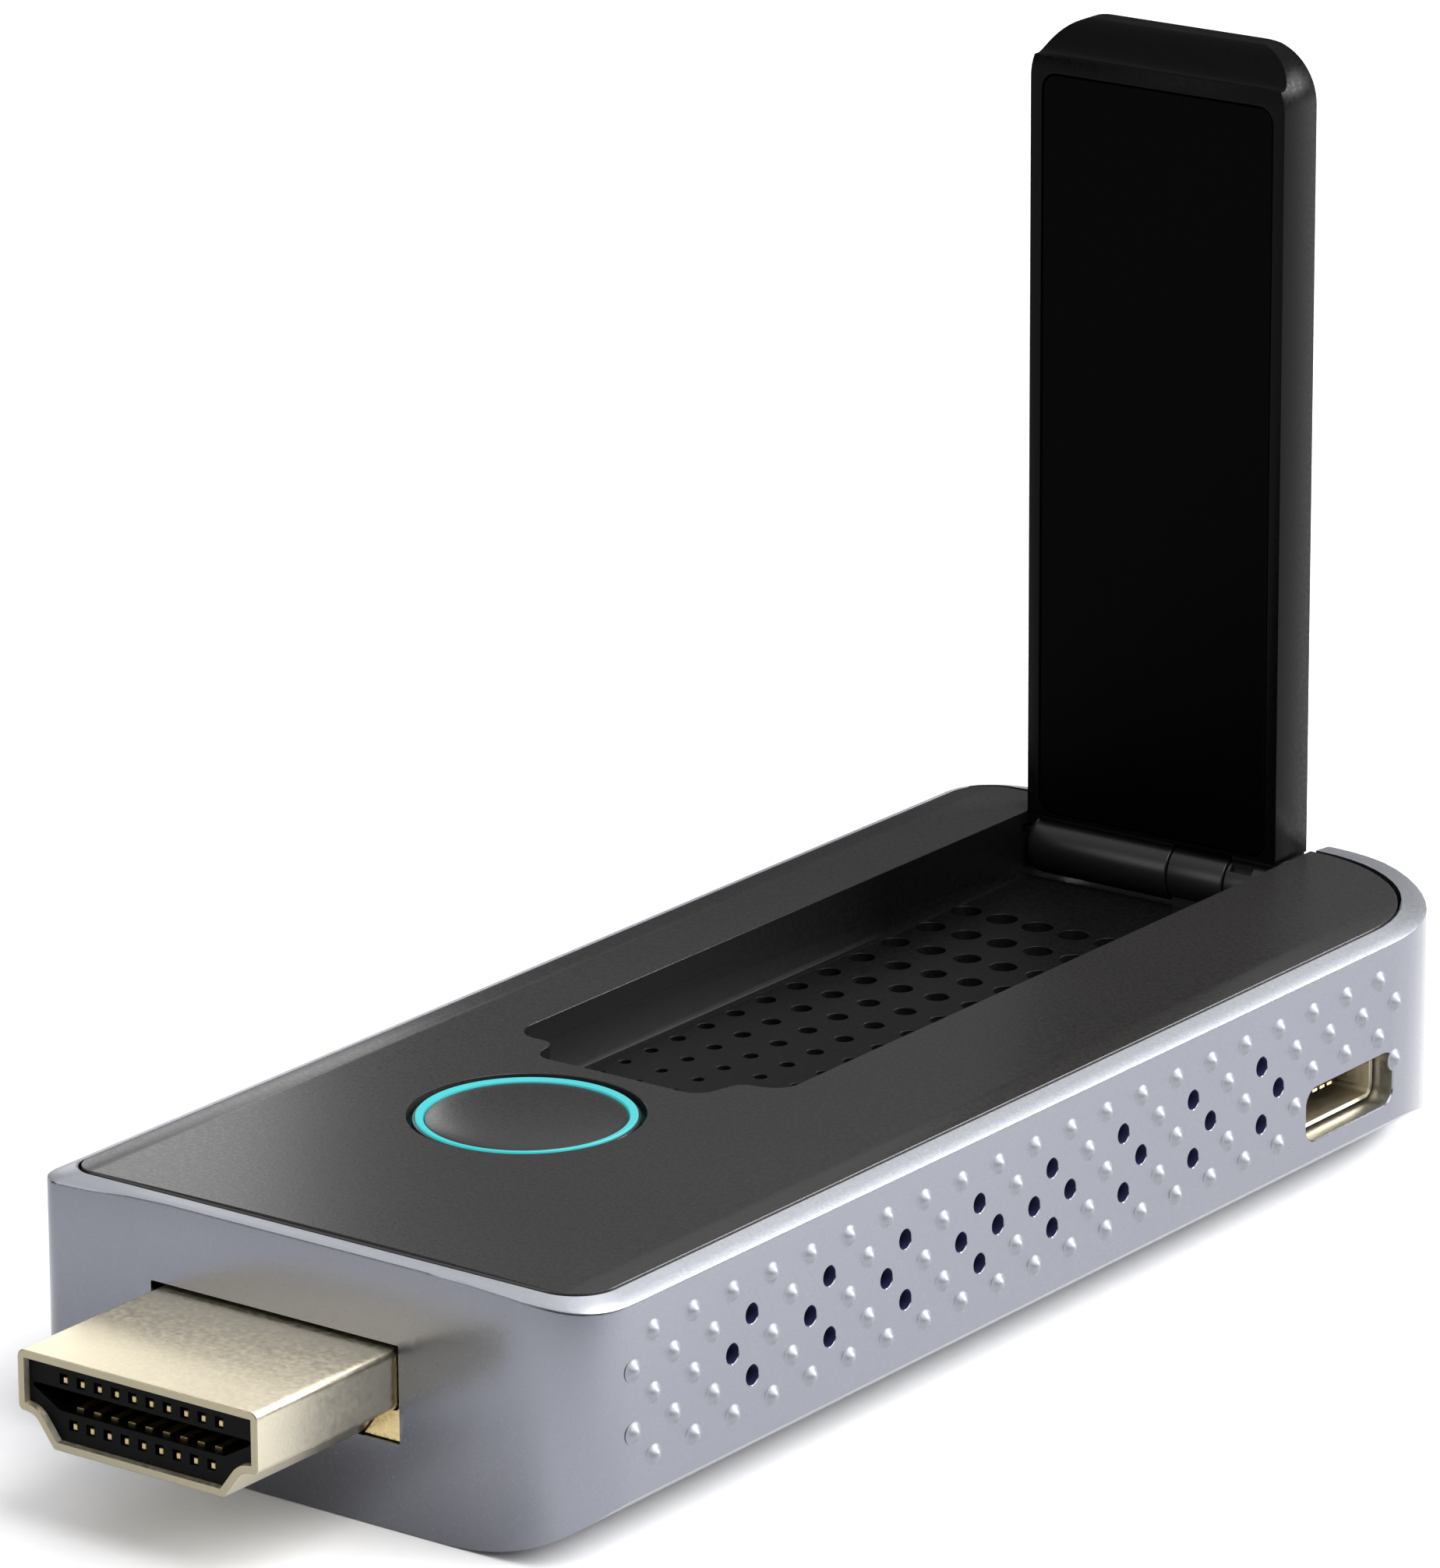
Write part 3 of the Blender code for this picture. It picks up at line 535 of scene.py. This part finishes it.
def lattice_point(column, level):
    return behind_front(LATTICE_START + column * LATTICE_PITCH), LATTICE_TOP - level * LATTICE_PITCH


def side_vents():
    bm = bmesh.new()
    for column, level, is_vent in lattice():
        if is_vent:
            for side in (-1, 1):
                drill(lattice_point(column, level), VENT_RADIUS, HALF_WIDTH, VENT_DEPTH, "X", bm, side)
    return bm


def housing_solid():
    """The tub before it is hollowed: walls, a rim that slopes in to the cover, and the underside."""
    body = outline((-HALF_WIDTH, HALF_WIDTH), (FRONT, REAR), CORNERS)
    inner = outline(extent(COVER_LOW, COVER_HIGH, 0, COVER_LINE),
                    extent(COVER_LOW, COVER_HIGH, 1, COVER_LINE), COVER_CORNERS)
    edge = [BODY_HIGH[2] - 0.02 - RIM_DIP * smooth_step(abs(x), *RIM_DIP_RANGE) for x, _ in body]

    def between(t, rise):
        """A ring on the rim: t goes from the body's outline to the cover's, rise lifts it."""
        return [(x + (u - x) * t, y + (v - y) * t, z + (COVER_TOP - 0.05 - z) * rise)
                for (x, y), (u, v), z in zip(body, inner, edge)]

    rings = [[(x, y, -2.0) for x, y in body],
             [(x, y, z - 0.14) for (x, y), z in zip(body, edge)],
             [(x, y, z - 0.03) for (x, y), z in zip(inset(body, 0.03), edge)],
             between(0.11, 0.10), between(0.5, 0.55), between(0.93, 0.97),
             [(x, y, COVER_TOP - 0.1) for x, y in inner],
             [(x, y, COVER_BOTTOM - 0.3) for x, y in inner]]
    solid = combine(loft(rings), "INTERSECT", section(0.0))
    return soften(solid, 0.16, chosen=lambda e: all(v.co.z < SIDE_BOTTOM + 1 for v in e.verts))


def housing_hollow():
    corners = [(max(rx - WALL, 0.5), max(ry - WALL, 0.5), power) for rx, ry, power in CORNERS]
    walls = outline((WALL - HALF_WIDTH, HALF_WIDTH - WALL), (FRONT + WALL, REAR - WALL), corners)
    return combine(prism(walls, (-3.0, 25.0)), "INTERSECT", section(WALL))


def housing_openings():
    """Cutters for the plug's slot and plate, the USB port, the notch behind the hinge and the label."""
    slot = rectangle(around(LINE, SLOT_HALF), (PLUG_LOW[2] - 0.06, PLUG_HIGH[2] + 0.24), 0.08, 3)
    plate = block(around(LINE, PLATE_ROOM), (behind_front(0.8), behind_front(2.5)), (3.6, 9.7))
    mouth = rectangle(widened(PORT_Y, PORT_CLEARANCE), widened(PORT_Z, PORT_CLEARANCE), 0.85)
    port = stepped([(mouth, HALF_WIDTH - 3), (mouth, HALF_WIDTH - 0.07),
                    (inset(mouth, -0.1), HALF_WIDTH + 0.05)], "X")
    notch = block((BAY_LEFT - 0.1, BAY_RIGHT - 0.05), (behind_front(NOTCH_START), REAR + 2),
                  (NOTCH_BOTTOM, 16.0))
    label = prism(rectangle(extent(LABEL_LOW, LABEL_HIGH, 0, 0.15),
                            extent(LABEL_LOW, LABEL_HIGH, 1, 0.15), 1.2), (-1.0, LABEL_HIGH[2]))
    return [prism(slot, (FRONT - 1, FRONT + 3), "Y"), plate, port, notch, label, side_vents()]


def housing_look(normal, centre):
    """The rim gets a lighter copy of the silver as painted highlight, the vents' walls a navy-black as painted
    shade, and the USB port's are lighter and warmer.
    """
    # Painted highlight on the rim's upward faces.
    if normal.z > 0.5 and centre.z > RIM_BOTTOM - 0.05:
        return RIM_HIGHLIGHT
    inside_wall = HALF_WIDTH - WALL - 0.1 < abs(centre.x) < HALF_WIDTH - 0.02
    if abs(normal.x) >= 0.5 or not inside_wall:
        return None
    port_y, port_z = widened(PORT_Y, 0.4), widened(PORT_Z, 0.4)
    if centre.x > 0 and port_y[0] < centre.y < port_y[1] and port_z[0] < centre.z < port_z[1]:
        return PORT_WALL
    # Painted shade in the vent holes.
    if SIDE_BOTTOM + 0.5 < centre.z < LATTICE_TOP + 0.7 and VENT_WALL_Y[0] < centre.y < VENT_WALL_Y[1]:
        return VENT_SHADE
    return None


def make_housing():
    bm = cut(housing_solid(), housing_hollow())
    bm = cut(bm, *housing_openings())
    shell = piece("housing_shell", bm, SILVER, "base", "silver_housing", "housing")
    repaint(shell, (RIM_HIGHLIGHT, PORT_WALL, VENT_SHADE), housing_look)


def make_studs():
    """The domed studs of the side lattice, with a soft foot that runs into the wall."""
    bm = bmesh.new()
    for column, level, is_vent in lattice():
        if is_vent:
            continue
        spot = lattice_point(column, level)
        for side in (-1, 1):
            if side > 0 and (column, level) in PORT_GAPS:
                continue
            layers = [(circle(spot, STUD_RADIUS, SMALL_STEPS), side * (HALF_WIDTH - 0.1))]
            for i in range(STUD_RINGS):
                t = 1 - i / (STUD_RINGS - 1)
                rise = STUD_HEIGHT * (math.cos(math.pi * t ** 1.25) + 1) / 2
                ring = circle(spot, max(STUD_RADIUS * t, 0.002), SMALL_STEPS)
                layers.append((ring, side * (HALF_WIDTH - 0.004 + rise)))
            stepped(layers, "X", bm)
    # The studs carry the lighter silver, a painted highlight.
    piece("side_studs", bm, STUD_HIGHLIGHT, "base", "silver_housing", sharp=60)


def cover_painted_shade(normal, centre):
    """Painted shade: the cover's cut faces round the bay's opening get the bay's black, to look as dark as the
    bay.
    """
    over_bay = BAY_LEFT - 0.5 < centre.x < BAY_RIGHT + 0.5 and centre.y > NAIL_FRONT - 0.5
    return BAY if over_bay and abs(normal.z) < 0.6 else None


def make_cover():
    edge = outline(extent(COVER_LOW, COVER_HIGH, 0), extent(COVER_LOW, COVER_HIGH, 1), COVER_CORNERS)
    bm = stepped([(edge, COVER_BOTTOM), (edge, COVER_TOP - 0.08), (inset(edge, 0.03), COVER_TOP - 0.03),
                  (inset(edge, 0.1), COVER_TOP), (inset(edge, 0.11), COVER_TOP + 1)])
    across = [CROWN_HALF - 2 * CROWN_HALF * i / CROWN_STEPS for i in range(CROWN_STEPS + 1)]
    top = [(x, COVER_TOP + CROWN_RISE - CROWN_DROP * (x / CROWN_REACH) ** 2) for x in across]
    base = [(-CROWN_HALF, COVER_BOTTOM - 2), (CROWN_HALF, COVER_BOTTOM - 2)]
    bm = combine(bm, "INTERSECT", prism(base + top, (FRONT - 2, REAR + 2), "Y"))
    hole = turned([(BUTTON_HOLE, COVER_BOTTOM - 1), (BUTTON_HOLE, COVER_TOP + 0.06),
                   (BUTTON_HOLE + 0.1, COVER_TOP + 0.16)], BUTTON)
    bay = bay_outline()
    opening = stepped([(bay, COVER_BOTTOM - 1), (bay, COVER_TOP + 0.03),
                       (inset(bay, -0.13), COVER_TOP + 0.17)])
    relief = block((-12.2, BAY_LEFT + 0.3), (PIVOT[1] - 1.5, COVER_HIGH[1] + 2),
                   (COVER_BOTTOM - 1, COVER_BOTTOM + 0.5))
    bm = cut(bm, hole, opening, relief)
    plate = piece("cover_plate", bm, COVER, "base", "dark_cover", "top_cover")
    repaint(plate, (BAY,), cover_painted_shade)


def bay_outline():
    """The opening over the bay, with the rounded fingernail notch at its front."""
    rear = REAR + 3
    return rounded([(BAY_LEFT, rear, 0), (BAY_LEFT, BAY_FRONT - 0.1, 1.4), (BAY_LEFT + 2.5, BAY_FRONT, 0.7),
                    (BAY_LEFT + NAIL_SIDE, NAIL_FRONT, 1.1), (BAY_RIGHT - NAIL_SIDE, NAIL_FRONT, 1.1),
                    (BAY_RIGHT - 2.2, BAY_FRONT + 0.35, 0.8), (BAY_RIGHT, BAY_FRONT + 0.9, 1.3),
                    (BAY_RIGHT, rear, 0)])


def floor_holes():
    """Rows that open up and spread out towards the hinge."""
    bm = bmesh.new()
    for row in HOLE_ROWS:
        y = behind_front(HOLE_START + HOLE_STEP * row + HOLE_SPREAD * row * row)
        radius = HOLE_RADIUS + HOLE_GROWTH * max(row, -2)
        for column in range(HOLE_COLUMNS):
            x = LINE + HOLE_PITCH * (column - (HOLE_COLUMNS - 1) / 2)
            drill((x, y), radius, BAY_FLOOR, 2, "Z", bm)
    return bm


def make_tray():
    rear = TRAY_HIGH[1]
    bm = block(extent(TRAY_LOW, TRAY_HIGH, 0), (NAIL_FRONT - 0.35, rear), (TRAY_LOW[2], COVER_BOTTOM - 0.01))
    bay = rounded([(BAY_LEFT, rear - TRAY_WALL, 0.4), (BAY_LEFT, BAY_FRONT, 1.4),
                   (BAY_RIGHT, BAY_FRONT, 1.4), (BAY_RIGHT, rear - TRAY_WALL, 0.4)])
    floor_edge = stepped([(inset(bay, 0.35), BAY_FLOOR), (inset(bay, 0.1), BAY_FLOOR + 0.1),
                          (bay, BAY_FLOOR + 0.35), (bay, 15.0)])
    scoop = prism([(NAIL_FRONT, 15.0), (NAIL_FRONT, COVER_BOTTOM - 0.4), (BAY_FRONT + 1, BAY_FLOOR + 0.4),
                   (BAY_FRONT + 1, 15.0)], (BAY_LEFT + NAIL_SIDE, BAY_RIGHT - NAIL_SIDE), "X")
    opening = block((BAY_LEFT, BAY_RIGHT), (behind_front(NOTCH_START), rear + 2), (NOTCH_BOTTOM - 0.3, 15.0))
    trough = prism(circle(AXIS, TROUGH_RADIUS, 32), (BAY_LEFT, BAY_RIGHT), "X")
    bm = cut(bm, floor_edge, scoop, opening, trough, floor_holes())
    piece("bay_tray", bm, BAY, "base", "black_bay", "antenna_bay")


# Antenna

BARREL = PIVOT[1] - BLADE_LOW[1]  # radius of the hinge's knuckles
BORE = 0.8  # radius of the hole through them
KNUCKLE_GAP = 0.12
BLADE_FRONT = PANEL_LOW[1]
BLADE_REAR = BLADE_HIGH[1]
BLADE_BASE = PIVOT[2] + 1.75
BLADE_TIP = BLADE_HIGH[2]
SCOOP_DEPTH = 1.85
SCOOP_START = 0.12  # part of its run that stays at full depth
SCOOP_STEPS = 24
RIDGE = 0.85  # thickness of the tip's edge behind the scoop


def barrel(x, ends):
    """A cylinder on the hinge line, with its two end edges rounded by the given radii."""
    quarter = [math.radians(15 * i) for i in range(7)]
    profile = [(BARREL - ends[0] * (1 - math.sin(a)), x[0] + ends[0] * (1 - math.cos(a))) for a in quarter]
    profile += [(BARREL - ends[1] * (1 - math.cos(a)), x[1] - ends[1] * (1 - math.sin(a))) for a in quarter]
    return turned(profile, AXIS, 48, along="X")


def blade_solid():
    """The flat blade: rounded at the tip's corners, scooped at the tip, with a bed for the panel."""
    ridge = BLADE_REAR - RIDGE
    scoop = []
    for i in range(SCOOP_STEPS + 1):
        t = i / SCOOP_STEPS
        lift = (1 - math.cos(math.pi * max(0.0, t - SCOOP_START) / (1 - SCOOP_START))) / 2
        scoop.append((BLADE_FRONT + (ridge - BLADE_FRONT) * t, BLADE_TIP - SCOOP_DEPTH * (1 - lift)))
    side = [(BLADE_REAR, BLADE_BASE), (BLADE_REAR, BLADE_TIP - 0.12), (BLADE_REAR - 0.12, BLADE_TIP)]
    side += scoop[::-1] + [(BLADE_FRONT, BLADE_BASE)]
    face = rounded([(BLADE_LOW[0], BLADE_BASE - 5, 0), (BLADE_HIGH[0], BLADE_BASE - 5, 0),
                    (BLADE_HIGH[0], BLADE_TIP, 3.0), (BLADE_LOW[0], BLADE_TIP, 3.0)], 16)
    bm = combine(prism(side, extent(BLADE_LOW, BLADE_HIGH, 0, 1), "X"), "INTERSECT",
                 prism(face, (BLADE_FRONT - 2, BLADE_REAR + 2), "Y"))
    soften(bm, 0.1, angle=40)
    bed = rectangle(extent(PANEL_LOW, PANEL_HIGH, 0, 0.1), (BLADE_BASE + 0.15, PANEL_HIGH[2] + 0.1), 0.9)
    return cut(bm, prism(bed, (BLADE_FRONT - 1, BLADE_FRONT + 0.9), "Y"))


def blade_look(normal, centre):
    """The knuckles are glossier than the blade, and the lighter black on them is painted highlight."""
    return HINGE_HIGHLIGHT if centre.z < BLADE_BASE - 0.02 else None


def make_blade():
    left, right = (BLADE_LOW[0], KNUCKLE_LOW[0] - KNUCKLE_GAP), (KNUCKLE_HIGH[0] + KNUCKLE_GAP, BLADE_HIGH[0])
    web_y, web_z = (BLADE_FRONT + 0.45, BLADE_REAR - 0.02), (PIVOT[2], BLADE_BASE + 0.3)
    bm = combine(blade_solid(), "UNION", barrel(left, (0.55, 0.06)), barrel(right, (0.06, 0.12)),
                 block((left[0] + 0.12, left[1]), web_y, web_z),
                 block((right[0], right[1] - 0.12), web_y, web_z))
    latch = block((right[0] + 0.2, right[0] + 1.5), (BLADE_LOW[1] - 1, PIVOT[1] - 1.0),
                  (PIVOT[2] + 0.95, PIVOT[2] + 1.55))
    bm = cut(bm, latch, prism(circle(AXIS, BORE), (left[1] - 1.6, right[1] - 0.3), "X"))
    blade = piece("antenna_blade", bm, BLADE, "antenna", "black_antenna", "antenna_shell")
    repaint(blade, (HINGE_HIGHLIGHT,), blade_look)
    panel = rectangle(extent(PANEL_LOW, PANEL_HIGH, 0), (BLADE_BASE + 0.25, PANEL_HIGH[2]), 0.8)
    inlay = stepped([(panel, BLADE_FRONT + 0.8), (panel, BLADE_FRONT + 0.06),
                     (inset(panel, 0.05), BLADE_FRONT + 0.01)], "Y")
    piece("antenna_inlay", inlay, PANEL, "antenna", "black_panel", "antenna_panel")


def make_fixed_knuckle():
    foot = block(extent(KNUCKLE_LOW, KNUCKLE_HIGH, 0, -0.1), around(PIVOT[1], 1.2),
                 (TRAY_LOW[2] + 0.1, PIVOT[2] - 0.5))
    bm = combine(barrel(extent(KNUCKLE_LOW, KNUCKLE_HIGH, 0), (0.06, 0.06)), "UNION", foot)
    bm = cut(bm, prism(circle(AXIS, BORE), extent(KNUCKLE_LOW, KNUCKLE_HIGH, 0, 1), "X"))
    # The fixed knuckle gets the same lighter black, a painted highlight.
    piece("hinge_knuckle", bm, HINGE_HIGHLIGHT, "base", "black_bay", "hinge_base")


# Button

CAP_RADIUS = 4.8
CAP_EDGE = COVER_TOP - 0.15  # level of the dome's edge
CAP_RISE = 0.49
CAP_UNDERSIDE = 11.9
STEM_RADIUS = 1.2
LIP_BOTTOM = COVER_TOP - 0.75
LIP_TOP = COVER_TOP - 0.06
LIT_WIDTH = 0.36
WELL_BORE = 5.5


def make_button():
    dome = [(CAP_RADIUS * math.sin(math.radians(a)), CAP_EDGE + CAP_RISE * math.cos(math.radians(a)))
            for a in range(0, 90, 5)]
    underneath = [(CAP_RADIUS, CAP_EDGE - 0.01), (CAP_RADIUS, CAP_UNDERSIDE), (STEM_RADIUS, CAP_UNDERSIDE),
                  (STEM_RADIUS, CAP_BOTTOM), (0.0, CAP_BOTTOM)]
    lip = [(5.21, LIP_BOTTOM), (5.34, LIP_BOTTOM), (5.36, LIP_TOP - 0.08), (5.33, LIP_TOP - 0.02),
           (5.28, LIP_TOP), (5.21, LIP_TOP)]
    bm = merged(turned(dome + underneath, BUTTON), turned(lip, BUTTON, closed=True))
    piece("button_dome", bm, COVER, "button", "dark_cover", "button_cap", sharp=50)
    outer, top = (RING_HIGH[0] - RING_LOW[0]) / 2, RING_HIGH[2]
    inner = outer - LIT_WIDTH
    ring = [(inner, RING_LOW[2]), (outer, RING_LOW[2]), (outer, top - 0.03), (outer - 0.03, top),
            (inner, top - 0.08)]
    piece("lit_ring", turned(ring, BUTTON, closed=True), LIGHT, "button", "light_guide", "light_ring")
    rim, top = (GUIDE_HIGH[0] - GUIDE_LOW[0]) / 2, COVER_BOTTOM - 0.02
    guide = [(WELL_BORE, GUIDE_LOW[2]), (rim, GUIDE_LOW[2]), (rim, top), (WELL_BORE, top)]
    piece("button_well", turned(guide, BUTTON, closed=True), BAY, "base", "black_bay", "button_guide")


# HDMI plug

PLUG_WALL = 0.42
INSULATOR_DEPTH = 0.32  # how far its face lies behind the plug's mouth
CONTACT_ROWS = ((10, PLUG_HIGH[2] - 1.08), (9, PLUG_HIGH[2] - 3.2))  # (count, level), at a 1 mm pitch


def plug_outline(distance=0.0):
    """The D shape of the plug in (x, z), moved inwards by a distance."""
    top, bottom = PLUG_HIGH[2], PLUG_LOW[2]
    right = [(4.93, bottom, 0.3), (6.0, top - 3.02, 0.9), (6.95, top - 2.92, 0.3), (6.95, top, 0.42)]
    left = [(-x, z, r) for x, z, r in reversed(right)]
    return rounded(shrunk([(LINE + x, z, r) for x, z, r in right + left], distance), 6)


def plug_painted_light(normal, centre):
    """Painted light: the top gets a lighter copy of the plating as painted highlight, and the cut edge at the
    mouth a darker copy as painted shade.
    """
    if normal.z > 0.7:
        return PLUG_TOP_HIGHLIGHT
    return PLUG_EDGE_SHADE if normal.y < -0.5 else None


def make_plug():
    tip, end = PLUG_LOW[1], PLUG_HIGH[1]
    shell = stepped([(plug_outline(0.06), tip), (plug_outline(0.015), tip + 0.03),
                     (plug_outline(), tip + 0.09), (plug_outline(), end)], "Y")
    bore = stepped([(plug_outline(PLUG_WALL - 0.05), tip - 0.5), (plug_outline(PLUG_WALL - 0.03), tip + 0.04),
                    (plug_outline(PLUG_WALL), tip + 0.1), (plug_outline(PLUG_WALL), end + 1)], "Y")
    shell = piece("plug_shell", cut(shell, bore), CHAMPAGNE, "base", "champagne_plating", "hdmi_shell")
    repaint(shell, (PLUG_TOP_HIGHLIGHT, PLUG_EDGE_SHADE), plug_painted_light)
    plate = prism(rectangle(around(LINE, 7.13), (PLUG_LOW[2], PLUG_HIGH[2] - 0.3), 0.05, 2),
                  (FRONT + 0.22, FRONT + 1.6), "Y")
    plate = cut(plate, prism(plug_outline(-0.07), (FRONT, FRONT + 4), "Y"))
    piece("plug_flange", plate, GOLD, "base", "champagne_plating", "hdmi_flange")


def make_insulator():
    face = PLUG_LOW[1] + INSULATOR_DEPTH
    top = PLUG_HIGH[2]
    bm = prism(plug_outline(PLUG_WALL + 0.01), (face, FRONT + 4.2), "Y")
    slit = rounded([(LINE - 4.75, top - 2.62, 0.1), (LINE + 4.75, top - 2.62, 0.1),
                    (LINE + 6.3, top - 1.75, 0.1), (LINE + 6.3, top - 1.55, 0.1),
                    (LINE - 6.3, top - 1.55, 0.1), (LINE - 6.3, top - 1.75, 0.1)], 3)
    wells, pins = bmesh.new(), bmesh.new()
    for count, level in CONTACT_ROWS:
        for i in range(count):
            x = LINE + i - (count - 1) / 2
            block(around(x, 0.24), (face - 1, face + 1.1), around(level, 0.26), wells)
            block(around(x, 0.12), (face + 0.12, face + 1.2), (level - 0.24, level + 0.06), pins)
    for i in range(9):
        block(around(LINE + i - 4, 0.22), (face + 0.5, face + 4), (top - 2.66, top - 2.5), pins)
    bm = cut(bm, prism(slit, (face - 1, face + 4.5), "Y"), wells)
    piece("plug_insulator", bm, INSULATOR, "base", "black_insulator", "hdmi_insulator")
    soften(pins, 0.03, segments=1)
    piece("plug_contact_tips", pins, PIN, "base", "gold_plating")


# USB socket

PORT_WALL_THICKNESS = 0.3
TONGUE_TIP = PORT_MOUTH - 0.7
USB_CONTACTS = 5
USB_PITCH = 0.65


def port_outline(distance):
    """The socket's rounded outline in (y, z), moved inwards by a distance."""
    (y0, y1), (z0, z1) = PORT_Y, PORT_Z
    return rounded(shrunk([(y0, z0, 0.7), (y1, z0, 0.7), (y1, z1, 0.65), (y0, z1, 0.65)], distance))


def make_usb():
    wall = PORT_WALL_THICKNESS
    shell = stepped([(port_outline(0), USB_LOW[0]), (port_outline(0), PORT_MOUTH - 0.08),
                     (port_outline(0.06), PORT_MOUTH)], "X")
    bore = stepped([(port_outline(wall), USB_LOW[0] + 0.3), (port_outline(wall), PORT_MOUTH - 0.08),
                    (port_outline(wall - 0.07), PORT_MOUTH + 0.06)], "X")
    piece("usb_socket", cut(shell, bore), CHAMPAGNE, "base", "gold_plating", "usb_shell")
    tongue = block((TONGUE_LOW[0], TONGUE_TIP), extent(TONGUE_LOW, TONGUE_HIGH, 1),
                   extent(TONGUE_LOW, TONGUE_HIGH, 2))
    piece("usb_insert", soften(tongue, 0.08), INSULATOR, "base", "black_insulator", "usb_tongue")
    contacts = bmesh.new()
    middle = (TONGUE_LOW[1] + TONGUE_HIGH[1]) / 2
    for i in range(USB_CONTACTS):
        block((TONGUE_LOW[0] + 0.5, TONGUE_TIP + 0.02), around(middle + USB_PITCH * (i - 2), 0.2),
              (TONGUE_LOW[2] - 0.06, TONGUE_LOW[2] + 0.12), contacts)
    piece("usb_contacts", soften(contacts, 0.03, segments=1), GOLD, "base", "gold_plating")


def make_label():
    label = prism(rectangle(extent(LABEL_LOW, LABEL_HIGH, 0), extent(LABEL_LOW, LABEL_HIGH, 1), 1.0),
                  extent(LABEL_LOW, LABEL_HIGH, 2))
    piece("blank_label", label, LABEL, "base", "blank_label", "rating_label")


# Stage, lights, camera

FLOOR_HALF = 2.5  # metres
FLOOR_GAP = 0.05 * MM  # keeps the floor clear of the underside
SKY = ((0.32, 0.09), (0.80, 1.0))  # (sine of the elevation, brightness), dark towards the horizon


def make_stage():
    look = material("pale_floor", (0.93, 0.93, 0.935), 0.9, grain=900, contrast=0.008, bump=0.0)
    mesh = bpy.data.meshes.new("floor")
    corners = [(x * FLOOR_HALF, y * FLOOR_HALF, -FLOOR_GAP) for x, y in ((-1, -1), (1, -1), (1, 1), (-1, 1))]
    mesh.from_pydata(corners, [], [(0, 1, 2, 3)])
    mesh.materials.append(look)
    floor = bpy.data.objects.new("floor", mesh)
    bpy.context.scene.collection.objects.link(floor)
    world = bpy.data.worlds.new("studio")
    bpy.context.scene.world = world
    world.use_nodes = True
    tree = world.node_tree
    height = tree.nodes.new("ShaderNodeSeparateXYZ")
    tree.links.new(tree.nodes.new("ShaderNodeTexCoord").outputs["Generated"], height.inputs["Vector"])
    sky = tree.nodes.new("ShaderNodeValToRGB")
    for stop, (place, grey) in zip(sky.color_ramp.elements, SKY):
        stop.position = place
        stop.color = (grey, grey, grey * 1.02, 1.0)
    tree.links.new(height.outputs["Z"], sky.inputs["Fac"])
    tree.links.new(sky.outputs["Color"], tree.nodes["Background"].inputs["Color"])


def area_light(name, place, target, size, power):
    """A square soft box of a size in millimetres, out of the camera's sight, aimed at a target."""
    data = bpy.data.lights.new(name, "AREA")
    data.shape = "RECTANGLE"
    data.size = data.size_y = size * MM
    data.energy = power
    light = bpy.data.objects.new(name, data)
    light.visible_camera = False
    light.location = Vector(place) * MM
    light.rotation_mode = "QUATERNION"
    light.rotation_quaternion = (Vector(target) - Vector(place)).to_track_quat("-Z", "Y")
    bpy.context.scene.collection.objects.link(light)


def make_lights():
    """The strongest stands behind on the right; the rest are weak and shape the front and the cover."""
    area_light("key_right", (310, 410, 235), (0, 0, 10), 220, 4.8)
    area_light("back_left", (-95, 40, 52), (-14, -44, 13), 44, 0.0135)
    area_light("near_right", (112, -26, 138), (45, -50, 0), 170, 0.45)
    area_light("front_left", (-85, -150, 62), (0, -42, 8), 70, 0.046)


# The photo's viewing angle: angles in degrees, the lens and the sensor in millimetres
CAMERA_PLACE = (250.4, -341.5, 158.2)
CAMERA_AZIMUTH = 36.77
CAMERA_ELEVATION = 17.495
CAMERA_ROLL = -0.336
CAMERA_LENS = 214.5
SENSOR_WIDTH = 36.0


def make_camera():
    data = bpy.data.cameras.new("camera")
    data.lens = CAMERA_LENS
    data.sensor_width = SENSOR_WIDTH
    data.clip_start = 0.01
    data.clip_end = 20.0
    camera = bpy.data.objects.new("camera", data)
    turn = (Matrix.Rotation(math.radians(CAMERA_AZIMUTH), 4, "Z")
            @ Matrix.Rotation(math.radians(90 - CAMERA_ELEVATION), 4, "X")
            @ Matrix.Rotation(math.radians(CAMERA_ROLL), 4, "Z"))
    camera.matrix_world = Matrix.Translation(Vector(CAMERA_PLACE) * MM) @ turn
    bpy.context.scene.collection.objects.link(camera)
    bpy.context.scene.camera = camera


dress_cad_nodes()
make_housing()
make_studs()
make_cover()
make_tray()
make_blade()
make_fixed_knuckle()
make_button()
make_plug()
make_insulator()
make_usb()
make_label()
make_stage()
make_lights()
make_camera()
bpy.context.scene.view_settings.view_transform = "Standard"
